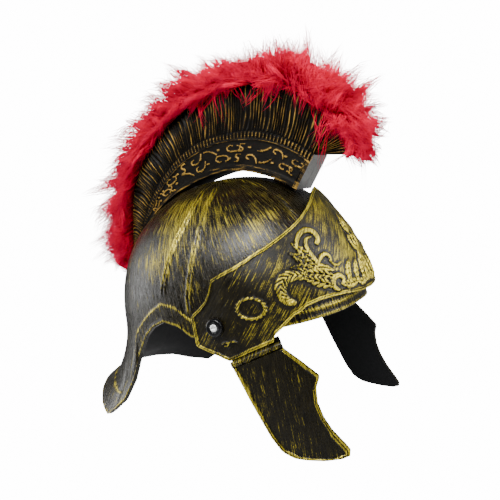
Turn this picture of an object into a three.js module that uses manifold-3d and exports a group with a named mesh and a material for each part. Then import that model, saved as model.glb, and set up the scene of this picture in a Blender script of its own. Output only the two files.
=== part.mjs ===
// Roman legionary helmet: a moulded costume helmet with a tall crest and a feather trim.
// Millimetres, +Z up as worn, the face towards -Y, the wearer's right side towards -X.
// The origin is the crown's inner apex, where the helmet sits on the head.

import * as THREE from 'three';
import Module from 'manifold-3d';

const wasm = await Module();
wasm.setup();

// Walls and gaps
const shellWall = 2.5;
const crestWall = 2;
const clearance = 0.3;
const seamGap = 0.3;

// Skull bowl, measured on its outside from the crown's axis at the level of the pivots
const domeHalfWidth = 95;
const domeFront = 112;
const domeBack = 113;
const domeHeight = 119.5;
const planPower = 2.5;
const risePower = 2.2;
const bandRise = 1;
const flareStart = 8;
const neckDrop = 73;
const neckReach = 47;

// Raised spine and ribs of the bowl
const spineHalfWidth = 20;
const spineFrontHalfWidth = 42;
const spineRise = 1.2;
const ribWidth = 3;
const ribRise = 0.9;

// Side pivots
const pivotAhead = 25;
const pivotScrewRadius = 1.9;
const pivotCapRadius = 7.2;
const pivotCapDepth = 5;
const screwHeadRadius = 3;
const screwHeadHeight = 2.2;
const nutRadius = 4.4;
const nutDepth = 3;

// Brow plate, which stands off the bowl at the sides and in front
const visorSideGap = 5;
const visorFrontGap = 15;
const visorHalfWidth = domeHalfWidth + visorSideGap;
const visorReach = domeFront - pivotAhead + visorFrontGap;
const visorRise = 96.5;
const visorDrop = 28.5;
const visorTail = 22;
const pipingWidth = 3;
const pipingRise = 0.9;
const reliefRise = 1.6;

// Cheek guards and their hinges
const hingeLength = 43.4;
const hingeSlope = 14.4;
const hingeToeIn = 16;
const hingeAhead = 8;
const hingeTurn = 3;
const hingeDrop = 31.5;
const hingeProud = 2;
const knuckleRadius = 2.7;
const pinRadius = 1.2;
const guardLength = 97.8;
const guardReach = 60;
const guardBow = 3;

// Crest and feather trim
const crestHeight = 84.5;
const crestHalfWidth = 18;
const fluteDepth = 0.7;
const fluteSunk = 0.5;
const plumeHeight = 124;
const plumeHalfWidth = 25;

// Table of the bowl's rim: turn in degrees from the brow, then the heights of the rim and of
// the border's upper line as shares of neckDrop, and their reaches as shares of neckReach
const rimTable = [
  { turn: 0, rim: -0.11, rimOut: 0, border: 0.014, borderOut: 0 },
  { turn: 50, rim: -0.13, rimOut: 0, border: 0, borderOut: 0 },
  { turn: 85, rim: -0.13, rimOut: 0, border: 0.04, borderOut: 0 },
  { turn: 92, rim: -0.11, rimOut: 0, border: 0.123, borderOut: 0 },
  { turn: 99, rim: 0.027, rimOut: 0, border: 0.26, borderOut: 0 },
  { turn: 107.5, rim: 0.096, rimOut: 0, border: 0.329, borderOut: 0 },
  { turn: 115, rim: 0.041, rimOut: 0, border: 0.247, borderOut: 0 },
  { turn: 121, rim: -0.055, rimOut: 0, border: 0.151, borderOut: 0 },
  { turn: 125.5, rim: -0.178, rimOut: 0, border: 0.068, borderOut: 0 },
  { turn: 129.4, rim: -0.301, rimOut: 0.026, border: -0.014, borderOut: 0.01 },
  { turn: 131.5, rim: -0.589, rimOut: 0.19, border: -0.19, borderOut: 0.04 },
  { turn: 135.3, rim: -0.822, rimOut: 0.379, border: -0.548, borderOut: 0.21 },
  { turn: 139.4, rim: -0.945, rimOut: 0.58, border: -0.74, borderOut: 0.36 },
  { turn: 141.7, rim: -1, rimOut: 0.7, border: -0.726, borderOut: 0.4 },
  { turn: 149.7, rim: -0.904, rimOut: 0.783, border: -0.658, borderOut: 0.447 },
  { turn: 157.1, rim: -0.781, rimOut: 0.836, border: -0.589, borderOut: 0.468 },
  { turn: 165.3, rim: -0.712, rimOut: 0.908, border: -0.548, borderOut: 0.5 },
  { turn: 180, rim: -0.644, rimOut: 1, border: -0.52, borderOut: 0.51 },
];
const domeTurns = [0, 15, 30, 42, 54, 65, 75, 85, 92, 99, 107.5, 115, 121, 125.5, 129.4, 131.5,
  135.3, 139.4, 141.7, 149.7, 157.1, 165.3, 172.5, 180];

// Table of the brow plate's level sections: height above the pivots as a share of visorRise,
// half width and reach as shares of visorHalfWidth and visorReach, and the section's power
const visorSections = [
  { height: -0.3, width: 0.995, reach: 0.94, power: 2.15 },
  { height: 0, width: 1, reach: 0.965, power: 2.15 },
  { height: 0.135, width: 1, reach: 0.96, power: 2.15 },
  { height: 0.383, width: 0.985, reach: 0.905, power: 2.1 },
  { height: 0.47, width: 0.95, reach: 0.88, power: 2.05 },
  { height: 0.62, width: 0.895, reach: 0.82, power: 2 },
  { height: 0.725, width: 0.81, reach: 0.775, power: 2 },
  { height: 0.896, width: 0.62, reach: 0.683, power: 2 },
  { height: 1.02, width: 0.45, reach: 0.606, power: 2 },
];

// Table of the brow plate's edges: turn in degrees ahead of the pivot's line, or tenths of
// the tail behind it where negative, and the edges as shares of visorDrop and visorRise
const visorEdges = [
  { turn: -10, bottom: -0.474, top: 0.098 },
  { turn: -9, bottom: -0.544, top: 0.124 },
  { turn: -6, bottom: -0.667, top: 0.166 },
  { turn: -3, bottom: -0.772, top: 0.218 },
  { turn: -1, bottom: -0.842, top: 0.28 },
  { turn: 0, bottom: -0.895, top: 0.337 },
  { turn: 1, bottom: -0.93, top: 0.39 },
  { turn: 3, bottom: -1, top: 0.405 },
  { turn: 7, bottom: -0.93, top: 0.43 },
  { turn: 13.3, bottom: -0.807, top: 0.462 },
  { turn: 20, bottom: -0.702, top: 0.505 },
  { turn: 24.7, bottom: -0.632, top: 0.538 },
  { turn: 25.6, bottom: -0.453, top: 0.544 },
  { turn: 29.5, bottom: -0.302, top: 0.565 },
  { turn: 36, bottom: -0.021, top: 0.608 },
  { turn: 42.6, bottom: 0.043, top: 0.655 },
  { turn: 49.8, bottom: 0.064, top: 0.71 },
  { turn: 57.5, bottom: 0.067, top: 0.775 },
  { turn: 65.8, bottom: 0.059, top: 0.85 },
  { turn: 73.4, bottom: 0.046, top: 0.915 },
  { turn: 80.7, bottom: 0.035, top: 0.963 },
  { turn: 90, bottom: 0.03, top: 1 },
];

// Table of a cheek guard's width at levels below the hinge's axis: the level as a share of
// guardLength, and its back and front edges as shares of guardReach from the hinge's back end
const guardRows = [
  { down: 0.033, back: 0, front: 0.73 },
  { down: 0.07, back: 0.006, front: 0.765 },
  { down: 0.17, back: 0.018, front: 0.86 },
  { down: 0.335, back: 0.035, front: 1 },
  { down: 0.36, back: 0.04, front: 0.985 },
  { down: 0.42, back: 0.05, front: 0.9 },
  { down: 0.53, back: 0.068, front: 0.84 },
  { down: 0.65, back: 0.09, front: 0.835 },
  { down: 0.765, back: 0.14, front: 0.865 },
  { down: 0.8, back: 0.17, front: 0.885 },
  { down: 0.865, back: 0.27, front: 0.92 },
  { down: 0.905, back: 0.39, front: 0.945 },
  { down: 0.965, back: 0.62, front: 0.972 },
  { down: 1, back: 0.83, front: 0.94 },
];

// Table of the crest's stations: lean in degrees ahead of the crown's axis, the heights of
// its lower edge, decorated band, groove and top as shares of crestHeight, the trim's height
// as a share of plumeHeight, and the width as a share of crestHalfWidth
const crestStations = [
  { lean: 39.5, foot: 0.06, band: 0.37, groove: 0.46, top: 0.83, trim: 0.93, width: 1 },
  { lean: 32, foot: 0.06, band: 0.4, groove: 0.48, top: 0.945, trim: 0.96, width: 1 },
  { lean: 24, foot: 0.062, band: 0.415, groove: 0.5, top: 1, trim: 1, width: 1 },
  { lean: 18, foot: 0.071, band: 0.415, groove: 0.503, top: 0.988, trim: 0.99, width: 1 },
  { lean: 11, foot: 0.083, band: 0.41, groove: 0.493, top: 0.97, trim: 0.965, width: 1 },
  { lean: 4, foot: 0.083, band: 0.402, groove: 0.473, top: 0.917, trim: 0.94, width: 1 },
  { lean: -4, foot: 0.065, band: 0.357, groove: 0.455, top: 0.864, trim: 0.915, width: 1 },
  { lean: -12.5, foot: 0.042, band: 0.305, groove: 0.384, top: 0.766, trim: 0.867, width: 1 },
  { lean: -21, foot: 0.038, band: 0.235, groove: 0.304, top: 0.659, trim: 0.795, width: 0.98 },
  { lean: -29, foot: 0.042, band: 0.166, groove: 0.234, top: 0.56, trim: 0.715, width: 0.95 },
  { lean: -37, foot: 0.049, band: 0.107, groove: 0.167, top: 0.44, trim: 0.63, width: 0.9 },
  { lean: -46, foot: 0.062, band: 0.085, groove: 0.115, top: 0.28, trim: 0.575, width: 0.83 },
  { lean: -55, foot: 0.075, band: 0.09, groove: 0.105, top: 0.175, trim: 0.54, width: 0.75 },
  { lean: -64, foot: 0.085, band: 0.1, groove: 0.115, top: 0.17, trim: 0.4, width: 0.66 },
  { lean: -73, foot: 0.09, band: 0.105, groove: 0.12, top: 0.17, trim: 0.19, width: 0.55 },
];

// The fan of flutes at the front: degrees turned from the last station about the top corner
// of the end face, with the flutes' and the trim's lengths as shares of their heights
const fanStations = [
  { turn: 16, flute: 0.39, trim: 0.5 },
  { turn: 32, flute: 0.4, trim: 0.48 },
  { turn: 48, flute: 0.385, trim: 0.44 },
  { turn: 62, flute: 0.35, trim: 0.37 },
];

// Colours of the finished pieces
const antiqueGold = new THREE.MeshStandardMaterial({ color: '#6b5a2a', roughness: 0.45, metalness: 0.6 });
const darkGold = new THREE.MeshStandardMaterial({ color: '#4a3d20', roughness: 0.5, metalness: 0.5 });
const blackPlastic = new THREE.MeshStandardMaterial({ color: '#141414', roughness: 0.4, metalness: 0 });
const steel = new THREE.MeshStandardMaterial({ color: '#c8c8c8', roughness: 0.3, metalness: 0.9 });
const redFeather = new THREE.MeshStandardMaterial({ color: '#e0122c', roughness: 0.9, metalness: 0 });

const radians = THREE.MathUtils.degToRad;
const mix = THREE.MathUtils.lerp;
const pivotLevel = shellWall - domeHeight;

// Reads a table of stations at any value of its key, along straight lines
function readTable(table, key, value) {
  const rising = table[0][key] < table[table.length - 1][key];
  const rows = rising ? table : [...table].reverse();
  if (value <= rows[0][key]) return { ...rows[0] };
  if (value >= rows[rows.length - 1][key]) return { ...rows[rows.length - 1] };
  const next = rows.findIndex((row) => row[key] > value);
  const [low, high] = [rows[next - 1], rows[next]];
  const share = (value - low[key]) / (high[key] - low[key]);
  return Object.fromEntries(Object.keys(low).map((name) => [name, mix(low[name], high[name], share)]));
}

// Makes an indexed body from points and triangles, with its faces turned outward
function makeBody(points, faces) {
  const volume = faces.reduce((sum, [a, b, c]) => (
    sum + points[a].dot(points[b].clone().cross(points[c]))), 0);
  const outward = volume < 0 ? faces.map(([a, b, c]) => [a, c, b]) : faces;
  const geometry = new THREE.BufferGeometry();
  const numbers = points.flatMap((point) => point.toArray());
  geometry.setAttribute('position', new THREE.Float32BufferAttribute(numbers, 3));
  geometry.setIndex(outward.flat());
  return geometry;
}

// Skins a list of rows of point numbers. A row of one point is a pole, and `around` closes
// each row on itself.
function skinRows(rows, around) {
  const faces = [];
  for (let k = 0; k < rows.length - 1; k++) {
    const [upper, lower] = [rows[k], rows[k + 1]];
    const count = Math.max(upper.length, lower.length);
    for (let i = 0; i < (around ? count : count - 1); i++) {
      const next = (i + 1) % count;
      if (upper.length === 1) faces.push([upper[0], lower[i], lower[next]]);
      else if (lower.length === 1) faces.push([lower[0], upper[next], upper[i]]);
      else faces.push([upper[i], lower[i], lower[next]], [upper[i], lower[next], upper[next]]);
    }
  }
  return faces;
}

// Makes a shell between an outer and an inner net of points, whose rows run down from the top
function shellBody(outer, inner, around) {
  const points = [];
  const number = (rows) => rows.map((row) => row.map((point) => points.push(point) - 1));
  const [outside, inside] = [number(outer), number(inner)];
  const loop = [...outside, ...[...inside].reverse()];
  if (outside[0].length > 1) loop.push(outside[0]);
  const faces = skinRows(loop, around);
  if (!around) {
    for (const edge of [0, outside[0].length - 1]) {
      const strip = outside.map((row, k) => [row[edge], inside[k][edge]]);
      const sides = skinRows(edge === 0 ? strip.map(([a, b]) => [b, a]) : strip, false);
      faces.push(...sides);
    }
  }
  return makeBody(points, faces);
}

// Lofts a closed body through sections with equal numbers of points. `flat` is a section's
// outline in its own plane, by which both ends are closed.
function loftBody(sections, flat) {
  const count = flat.length;
  const end = (sections.length - 1) * count;
  const faces = [];
  for (let row = 0; row < sections.length - 1; row++) {
    for (let i = 0; i < count; i++) {
      const [a, b] = [row * count + i, row * count + ((i + 1) % count)];
      faces.push([a, b, b + count], [a, b + count, a + count]);
    }
  }
  const outline = flat.map(([u, v]) => new THREE.Vector2(u, v));
  const cap = THREE.ShapeUtils.triangulateShape(outline, []);
  const follows = cap.some(([a, b, c]) => (
    [[a, b], [b, c], [c, a]].some(([from, to]) => to === (from + 1) % count)));
  for (const [a, b, c] of cap) {
    const [p, q] = follows ? [c, b] : [b, c];
    faces.push([a, p, q], [end + a, end + q, end + p]);
  }
  return makeBody(sections.flat(), faces);
}

function toSolid(geometry) {
  const numbers = geometry.attributes.position.array;
  const index = Uint32Array.from(geometry.index.array);
  const mesh = new wasm.Mesh({ numProp: 3, vertProperties: Float32Array.from(numbers), triVerts: index });
  mesh.merge();
  return new wasm.Manifold(mesh);
}

function toGeometry(solid) {
  const mesh = solid.getMesh();
  const geometry = new THREE.BufferGeometry();
  geometry.setAttribute('position', new THREE.BufferAttribute(mesh.vertProperties, 3));
  geometry.setIndex(new THREE.BufferAttribute(mesh.triVerts, 1));
  return geometry;
}

const join = (geometries) => toGeometry(geometries.map(toSolid).reduce((sum, solid) => sum.add(solid)));
const cut = (geometry, tools) => toGeometry(
  tools.map(toSolid).reduce((rest, tool) => rest.subtract(tool), toSolid(geometry)));

// The same body on the wearer's other side
function mirrored(geometry) {
  const copy = geometry.clone().scale(-1, 1, 1);
  const index = copy.index.array;
  for (let i = 0; i < index.length; i += 3) [index[i], index[i + 1]] = [index[i + 1], index[i]];
  return copy;
}

// A closed round body along X from a table of distances and radii, starting at `from`
function turnedAlongX(profile, sides) {
  const outline = profile.map(([x, radius]) => new THREE.Vector2(radius, x));
  const lathe = new THREE.LatheGeometry(outline, sides);
  const positions = lathe.attributes.position;
  const rows = [];
  for (let k = 0; k < profile.length; k++) {
    const count = profile[k][1] === 0 ? 1 : sides;
    rows.push(Array.from({ length: count }, (_, side) => {
      const spot = new THREE.Vector3().fromBufferAttribute(positions, side * profile.length + k);
      return new THREE.Vector3(spot.y, spot.x, spot.z);
    }));
  }
  const points = rows.flat();
  const numbered = rows.map((row) => row.map((point) => points.indexOf(point)));
  return makeBody(points, skinRows(numbered, true));
}

// Skull bowl

// Radius of the bowl's plan at a turn from the brow, less an inset
function planRadius(turn, inset) {
  const [side, ahead] = [Math.abs(Math.sin(radians(turn))), Math.cos(radians(turn))];
  const reach = (ahead > 0 ? domeFront : domeBack) - inset;
  const sum = (side / (domeHalfWidth - inset)) ** planPower + (Math.abs(ahead) / reach) ** planPower;
  return sum ** (-1 / planPower);
}

// One meridian of the bowl from the crown down to the rim, as radius and height above the
// pivots: the round crown, the flare down to the border's line, and the flat border
function domeProfile(turn, inset) {
  const station = readTable(rimTable, 'turn', Math.abs(turn));
  const radius = planRadius(turn, inset);
  const height = domeHeight - inset;
  const [rim, rimOut] = [station.rim * neckDrop, station.rimOut * neckReach];
  const [border, borderOut] = [station.border * neckDrop, station.borderOut * neckReach];
  const crownSteps = 24;
  const crownEnd = Math.max(border, 0);
  const profile = [];
  const lowAngle = Math.asin((crownEnd / height) ** (risePower / 2));
  for (let i = 0; i <= crownSteps; i++) {
    const angle = mix(Math.PI / 2, lowAngle, i / crownSteps);
    const level = height * Math.sin(angle) ** (2 / risePower);
    profile.push([radius * Math.max(Math.cos(angle), 0) ** (2 / risePower), level]);
  }
  const flare = (level) => {
    const share = (flareStart - level) / (flareStart - border);
    return share > 0 && border < flareStart ? borderOut * share ** 1.7 : 0;
  };
  for (let level = -4; level > border; level -= 4) profile.push([radius, level]);
  if (border < 0) profile.push([radius, border]);
  const crown = profile.map(([r, level]) => [r + flare(level), level]);
  return { crown, edge: [crown[crown.length - 1], [radius + rimOut, rim]] };
}

// A point at a share of a profile's length
function alongProfile(profile, share) {
  const lengths = profile.slice(1).map(([r, z], i) => Math.hypot(r - profile[i][0], z - profile[i][1]));
  let left = share * lengths.reduce((sum, length) => sum + length, 0);
  for (let i = 0; i < lengths.length; i++) {
    if (left <= lengths[i] || i === lengths.length - 1) {
      const part = lengths[i] > 0 ? Math.min(left / lengths[i], 1) : 0;
      return [mix(profile[i][0], profile[i + 1][0], part), mix(profile[i][1], profile[i + 1][1], part)];
    }
    left -= lengths[i];
  }
  return profile[profile.length - 1];
}

const domePoint = (turn, [radius, level]) => new THREE.Vector3(
  radius * Math.sin(radians(turn)), -radius * Math.cos(radians(turn)), level + pivotLevel);

const allTurns = [...domeTurns, ...domeTurns.slice(1, -1).reverse().map((turn) => -turn)];

function domeNet(inset, crownRows, borderRise) {
  const rows = [[new THREE.Vector3(0, 0, domeHeight - inset + pivotLevel)]];
  for (let row = 1; row <= crownRows; row++) {
    rows.push(allTurns.map((turn) => (
      domePoint(turn, alongProfile(domeProfile(turn, inset).crown, row / crownRows)))));
  }
  const edgeShares = borderRise > 0 ? [0.02, 0.12, 0.5, 1] : [0.5, 1];
  for (const share of edgeShares) {
    rows.push(allTurns.map((turn) => {
      const [start, end] = domeProfile(turn, inset).edge;
      const rise = share > 0.1 ? borderRise : 0;
      return domePoint(turn, [mix(start[0], end[0], share) + rise, mix(start[1], end[1], share)]);
    }));
  }
  return rows;
}

// Distance from the bowl's centre to its outside along a lean ahead of the crown's axis
function spineReach(lean) {
  const ahead = Math.sin(radians(lean));
  const reach = ahead > 0 ? domeFront : domeBack;
  return ((Math.abs(ahead) / reach) ** risePower
    + (Math.cos(radians(lean)) / domeHeight) ** risePower) ** (-1 / risePower);
}

// A point on the middle plane's polar frame, `across` it towards the wearer's left
const polarPoint = (lean, distance, across) => new THREE.Vector3(
  across, -distance * Math.sin(radians(lean)), distance * Math.cos(radians(lean)) + pivotLevel);

// How far the bowl's outside lies above or below its middle line, `across` from it
function domeSag(lean, across) {
  const reach = spineReach(lean);
  const outside = (sag) => {
    const ahead = (reach + sag) * Math.sin(radians(lean));
    const level = (reach + sag) * Math.cos(radians(lean));
    const front = ahead > 0 ? domeFront : domeBack;
    const plan = (Math.abs(across) / domeHalfWidth) ** planPower + (Math.abs(ahead) / front) ** planPower;
    return plan ** (risePower / planPower) + (Math.max(level, 0) / domeHeight) ** risePower > 1;
  };
  let [low, high] = [-reach / 2, 1];
  while (high - low > 0.01) {
    const middle = (low + high) / 2;
    if (outside(middle)) high = middle;
    else low = middle;
  }
  return low;
}

// The raised band along the bowl's middle, on which the crest sits
function spineBand() {
  const outline = (lean) => {
    const half = mix(spineHalfWidth, spineFrontHalfWidth, Math.max(0, lean / 50) ** 1.2);
    const topSpots = [1, 0.93, 0, -0.93, -1].map((share) => {
      const rise = Math.abs(share) === 1 ? -spineRise / 4 : spineRise;
      return [share * half, domeSag(lean, share * half) + rise];
    });
    const lowSpots = [-1, 0, 1].map((share) => (
      [share * half, domeSag(lean, share * half) - shellWall * 0.6]));
    return [...topSpots, ...lowSpots];
  };
  const leans = Array.from({ length: 13 }, (_, i) => mix(54, -84, i / 12));
  return loftBody(leans.map((lean) => (
    outline(lean).map(([u, v]) => polarPoint(lean, spineReach(lean) + v, u)))), outline(0));
}

// Ribs down the side of the bowl: their turns at heights as shares of domeHeight
const ribs = [
  [{ level: 0.955, turn: 87 }, { level: 0.77, turn: 91.5 }, { level: 0.61, turn: 98.4 },
    { level: 0.47, turn: 102.4 }, { level: 0.285, turn: 105.6 }, { level: 0.235, turn: 106 }],
  [{ level: 0.955, turn: 69 }, { level: 0.82, turn: 77 }, { level: 0.65, turn: 81.7 },
    { level: 0.49, turn: 85.5 }, { level: 0.2, turn: 90.6 }, { level: 0.08, turn: 91 }],
];

function sideRib(path) {
  const steps = 6;
  const flat = [[-ribWidth, -1], [ribWidth, -1], [ribWidth * 0.3, ribRise], [-ribWidth * 0.3, ribRise]];
  const [high, low] = [path[0].level, path[path.length - 1].level];
  const sections = Array.from({ length: steps + 1 }, (_, i) => {
    const share = mix(high, low, i / steps);
    const { turn } = readTable(path, 'level', share);
    const level = share * domeHeight;
    const radius = planRadius(turn, 0) * (1 - share ** risePower) ** (1 / risePower);
    const normal = new THREE.Vector2(radius / domeHalfWidth, share).normalize();
    return flat.map(([u, v]) => domePoint(
      turn + THREE.MathUtils.radToDeg(u / 2 / radius), [radius + v * normal.x, level + v * normal.y]));
  });
  return loftBody(sections, flat);
}

function pivotHole(radius) {
  const half = visorHalfWidth * 1.2;
  return turnedAlongX([[-half, 0], [-half, radius], [half, radius], [half, 0]], 12)
    .translate(0, -pivotAhead, pivotLevel);
}

function domeBody() {
  const bowl = shellBody(domeNet(0, 8, bandRise), domeNet(shellWall, 5, 0), true);
  const sideRibs = ribs.flatMap((rib) => [sideRib(rib), mirrored(sideRib(rib))]);
  return cut(join([bowl, spineBand(), ...sideRibs]), [pivotHole(pivotScrewRadius + clearance)]);
}

// Brow plate, in the frame of the side pivots

// Point of the plate at a turn and height, `proud` of its outside, on the wearer's left
function visorPoint(turn, height, proud) {
  const level = readTable(visorSections, 'height', height / visorRise);
  const power = 2 / level.power;
  const [half, reach] = [level.width * visorHalfWidth, level.reach * visorReach];
  if (turn <= 0) return new THREE.Vector3(half + proud, -turn / 10 * visorTail, height);
  const angle = radians(turn);
  const spot = new THREE.Vector3(
    half * Math.max(Math.cos(angle), 0) ** power, -reach * Math.sin(angle) ** power, height);
  const normal = new THREE.Vector3(
    (spot.x / half) ** (level.power - 1) / half, -((-spot.y / reach) ** (level.power - 1)) / reach, 0);
  const lean = THREE.MathUtils.smoothstep(height, 0.1 * visorRise, visorRise) * 0.6;
  normal.normalize().setZ(lean).normalize();
  return spot.addScaledVector(normal, proud);
}

const visorBottom = (edge) => edge.bottom * (edge.bottom < 0 ? visorDrop : visorRise);

function visorNet(inset) {
  const shares = [0, 0.5, 1];
  const columns = visorEdges.map((edge) => {
    const [low, high] = [visorBottom(edge), visorRise * edge.top];
    const field = shares.map((share) => mix(high - pipingWidth - 1, low + pipingWidth + 1, share));
    const heights = [high, high - pipingWidth, ...field, low + pipingWidth, low];
    const onTail = edge.turn <= -9;
    return heights.map((height, row) => {
      const onPiping = onTail || row < 2 || row > heights.length - 3;
      return visorPoint(edge.turn, height, inset > 0 ? -inset : (onPiping ? pipingRise : 0));
    });
  });
  const flip = (point) => new THREE.Vector3(-point.x, point.y, point.z);
  return columns[0].map((_, row) => [
    ...columns.map((column) => column[row]),
    ...columns.slice(0, -1).reverse().map((column) => flip(column[row]))]);
}

// Hinge of the left cheek guard, in the frame of the side pivots: X runs forward along the
// pin, Y outward and Z up
function hingeFrame() {
  const [slope, toeIn] = [radians(hingeSlope), radians(hingeToeIn)];
  const along = new THREE.Vector3(
    -Math.sin(toeIn) * Math.cos(slope), -Math.cos(toeIn) * Math.cos(slope), Math.sin(slope));
  const up = new THREE.Vector3(0, 0, 1).addScaledVector(along, -along.z).normalize();
  const out = up.clone().cross(along);
  const seat = visorPoint(hingeTurn, -visorDrop, hingeProud);
  return new THREE.Matrix4().makeBasis(along, out, up).setPosition(seat.x, -hingeAhead, -hingeDrop);
}

// A straight round bar along X
const bar = (from, to, radius, sides) => turnedAlongX(
  [[from, 0], [from, radius], [to, radius], [to, 0]], sides);

function block(from, to) {
  const size = to.map((value, i) => value - from[i]);
  return new THREE.BoxGeometry(...size).translate(...from.map((value, i) => value + size[i] / 2));
}

const boreRadius = pinRadius + clearance;
const visorKnuckle = { from: hingeLength * 0.23, to: hingeLength * 0.77 };
const guardKnuckles = [
  { from: 0, to: hingeLength * 0.14 },
  { from: hingeLength * 0.86, to: hingeLength },
];

function knuckleOnVisor() {
  const barrel = bar(visorKnuckle.from, visorKnuckle.to, knuckleRadius, 8);
  const web = block([visorKnuckle.from, -knuckleRadius * 1.3, 0],
    [visorKnuckle.to, 0, knuckleRadius * 1.85]);
  return join([barrel, web]).applyMatrix4(hingeFrame());
}

// Cast relief on the brow plate, placed by shares of the plate's half length forward of the
// pivots and of visorRise up from them
const plateArc = Array.from({ length: 46 }, (_, i) => visorPoint(i * 2, visorRise * 0.2, 0));
const plateLengths = plateArc.reduce((sums, point, i) => (
  i === 0 ? [0] : [...sums, sums[i - 1] + point.distanceTo(plateArc[i - 1])]), []);
const plateLength = plateLengths[plateLengths.length - 1];

function plateSpot([forward, up], proud) {
  const length = Math.min(forward, 1) * plateLength;
  const next = Math.max(plateLengths.findIndex((sum) => sum >= length - 1e-9), 1);
  const part = (length - plateLengths[next - 1]) / (plateLengths[next] - plateLengths[next - 1]);
  const spot = visorPoint(2 * (next - 1 + part), up * visorRise, proud);
  return forward > 1 ? spot.setX(-(forward - 1) * plateLength) : spot;
}

// A raised strip along a path, as wide at its middle as a share of visorRise. `taper` is how
// far it narrows at its ends.
function reliefStrip(path, width, taper) {
  const sunk = -0.7 * shellWall;
  const flat = [[-0.5, sunk], [0.5, sunk], [0.25, reliefRise], [-0.25, reliefRise]];
  const sections = path.map((spot, i) => {
    const [before, after] = [path[Math.max(i - 1, 0)], path[Math.min(i + 1, path.length - 1)]];
    const run = new THREE.Vector2((after[0] - before[0]) * plateLength, (after[1] - before[1]) * visorRise);
    const side = new THREE.Vector2(-run.y, run.x).normalize();
    const ends = Math.sin(Math.PI * mix(0.08, 0.92, i / (path.length - 1)));
    const wide = width * visorRise * mix(1, ends, taper);
    return flat.map(([u, v]) => plateSpot([
      spot[0] + side.x * u * wide / plateLength, spot[1] + side.y * u * wide / visorRise], v));
  });
  return loftBody(sections, flat);
}

// A point at a distance, as a share of visorRise, and an angle from another, straight ahead
// being zero
function plateStep([forward, up], across, tall, angle) {
  return [forward + across * Math.cos(radians(angle)) * visorRise / plateLength,
    up + tall * Math.sin(radians(angle))];
}

// Table of the relief's curved strips: where their middles are, their radii and widths as
// shares of visorRise, and the angles in degrees between which they run
const scrollTable = [
  { at: [0.205, 0.113], across: 0.135, tall: 0.093, from: -160, to: 170, steps: 10, width: 0.03, taper: 0 },
  { at: [0.43, 0.19], across: 0.093, tall: 0.114, from: 60, to: 290, steps: 5, width: 0.06, taper: 0.4 },
  { at: [0.64, 0.53], across: 0.08, tall: 0.09, from: 215, to: -60, steps: 5, width: 0.04, taper: 0.4 },
];

// Table of the relief's leaves: where each starts, its length and width as shares of
// visorRise, and its direction in degrees up from straight ahead
const leafTable = [
  { at: [0.585, 0.27], length: 0.176, width: 0.075, angle: 150 },
  { at: [0.585, 0.29], length: 0.197, width: 0.075, angle: 122 },
  { at: [0.6, 0.3], length: 0.176, width: 0.075, angle: 92 },
  { at: [0.6, 0.24], length: 0.197, width: 0.08, angle: 0 },
  { at: [0.83, 0.2], length: 0.145, width: 0.07, angle: 100 },
];

function plateRelief() {
  const scrolls = scrollTable.map(({ at, across, tall, from, to, steps, width, taper }) => (
    reliefStrip(Array.from({ length: steps + 1 }, (_, i) => (
      plateStep(at, across, tall, mix(from, to, i / steps)))), width, taper)));
  const leaves = leafTable.map(({ at, length, width, angle }) => (
    reliefStrip([0, 0.4, 1].map((share) => (
      plateStep(at, share * length, share * length, angle))), width, 0.85)));
  const stem = reliefStrip([0.2, 0.45, 0.7].map((up) => [1, up]), 0.062, 0.6);
  const side = [...scrolls, ...leaves];
  return [...side, ...side.map(mirrored), stem];
}

function visorBody() {
  const plate = shellBody(visorNet(0), visorNet(shellWall), false);
  const knuckles = [knuckleOnVisor(), mirrored(knuckleOnVisor())];
  const bore = bar(-1, hingeLength + 1, boreRadius, 8).applyMatrix4(hingeFrame());
  const hole = pivotHole(pivotScrewRadius + clearance).translate(0, pivotAhead, -pivotLevel);
  return cut(join([plate, ...knuckles, ...plateRelief()]), [bore, mirrored(bore), hole]);
}

// Cheek guard, in the hinge's frame

const guardBowAt = (along) => guardBow * (1 - (2 * along / guardReach - 1) ** 2);

function guardPlate() {
  const shares = [0, 0.06, 0.09, 0.5, 0.91, 0.94, 1];
  const net = (inset) => guardRows.map((row, level) => shares.map((share, column) => {
    const along = mix(row.back, row.front, share) * guardReach;
    const onPiping = column < 2 || column > shares.length - 3 || level > guardRows.length - 2;
    const rise = inset === 0 && onPiping ? pipingRise : 0;
    return new THREE.Vector3(along, guardBowAt(along) + rise - inset, -row.down * guardLength);
  }));
  return shellBody(net(0), net(shellWall), false);
}

function guardBody() {
  const plate = guardPlate();
  const parts = [plate];
  for (const { from, to } of guardKnuckles) {
    const top = -guardRows[1].down * guardLength;
    parts.push(bar(from, to, knuckleRadius, 8));
    const face = guardBowAt((from + to) / 2) - shellWall / 2;
    parts.push(block([from, -knuckleRadius * 0.9, top], [to, face, 0]));
  }
  return cut(join(parts), [bar(-1, hingeLength + 1, boreRadius, 8)]);
}

// Angle about the pin at which the guard's centre of mass hangs straight below it
function hangingAngle(geometry) {
  const [center, volume] = [new THREE.Vector3(), { sum: 0 }];
  const positions = geometry.attributes.position;
  const index = geometry.index.array;
  const corner = (i) => new THREE.Vector3().fromBufferAttribute(positions, index[i]);
  for (let i = 0; i < index.length; i += 3) {
    const [a, b, c] = [corner(i), corner(i + 1), corner(i + 2)];
    const part = a.dot(b.clone().cross(c)) / 6;
    center.addScaledVector(a.add(b).add(c), part / 4);
    volume.sum += part;
  }
  center.divideScalar(volume.sum);
  return Math.atan2(center.y, -center.z);
}

// Side pivots, about the X axis on the wearer's left

const capBack = visorHalfWidth + clearance;
const capFace = capBack + pivotCapDepth;
const headSeat = capFace - screwHeadHeight;

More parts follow.
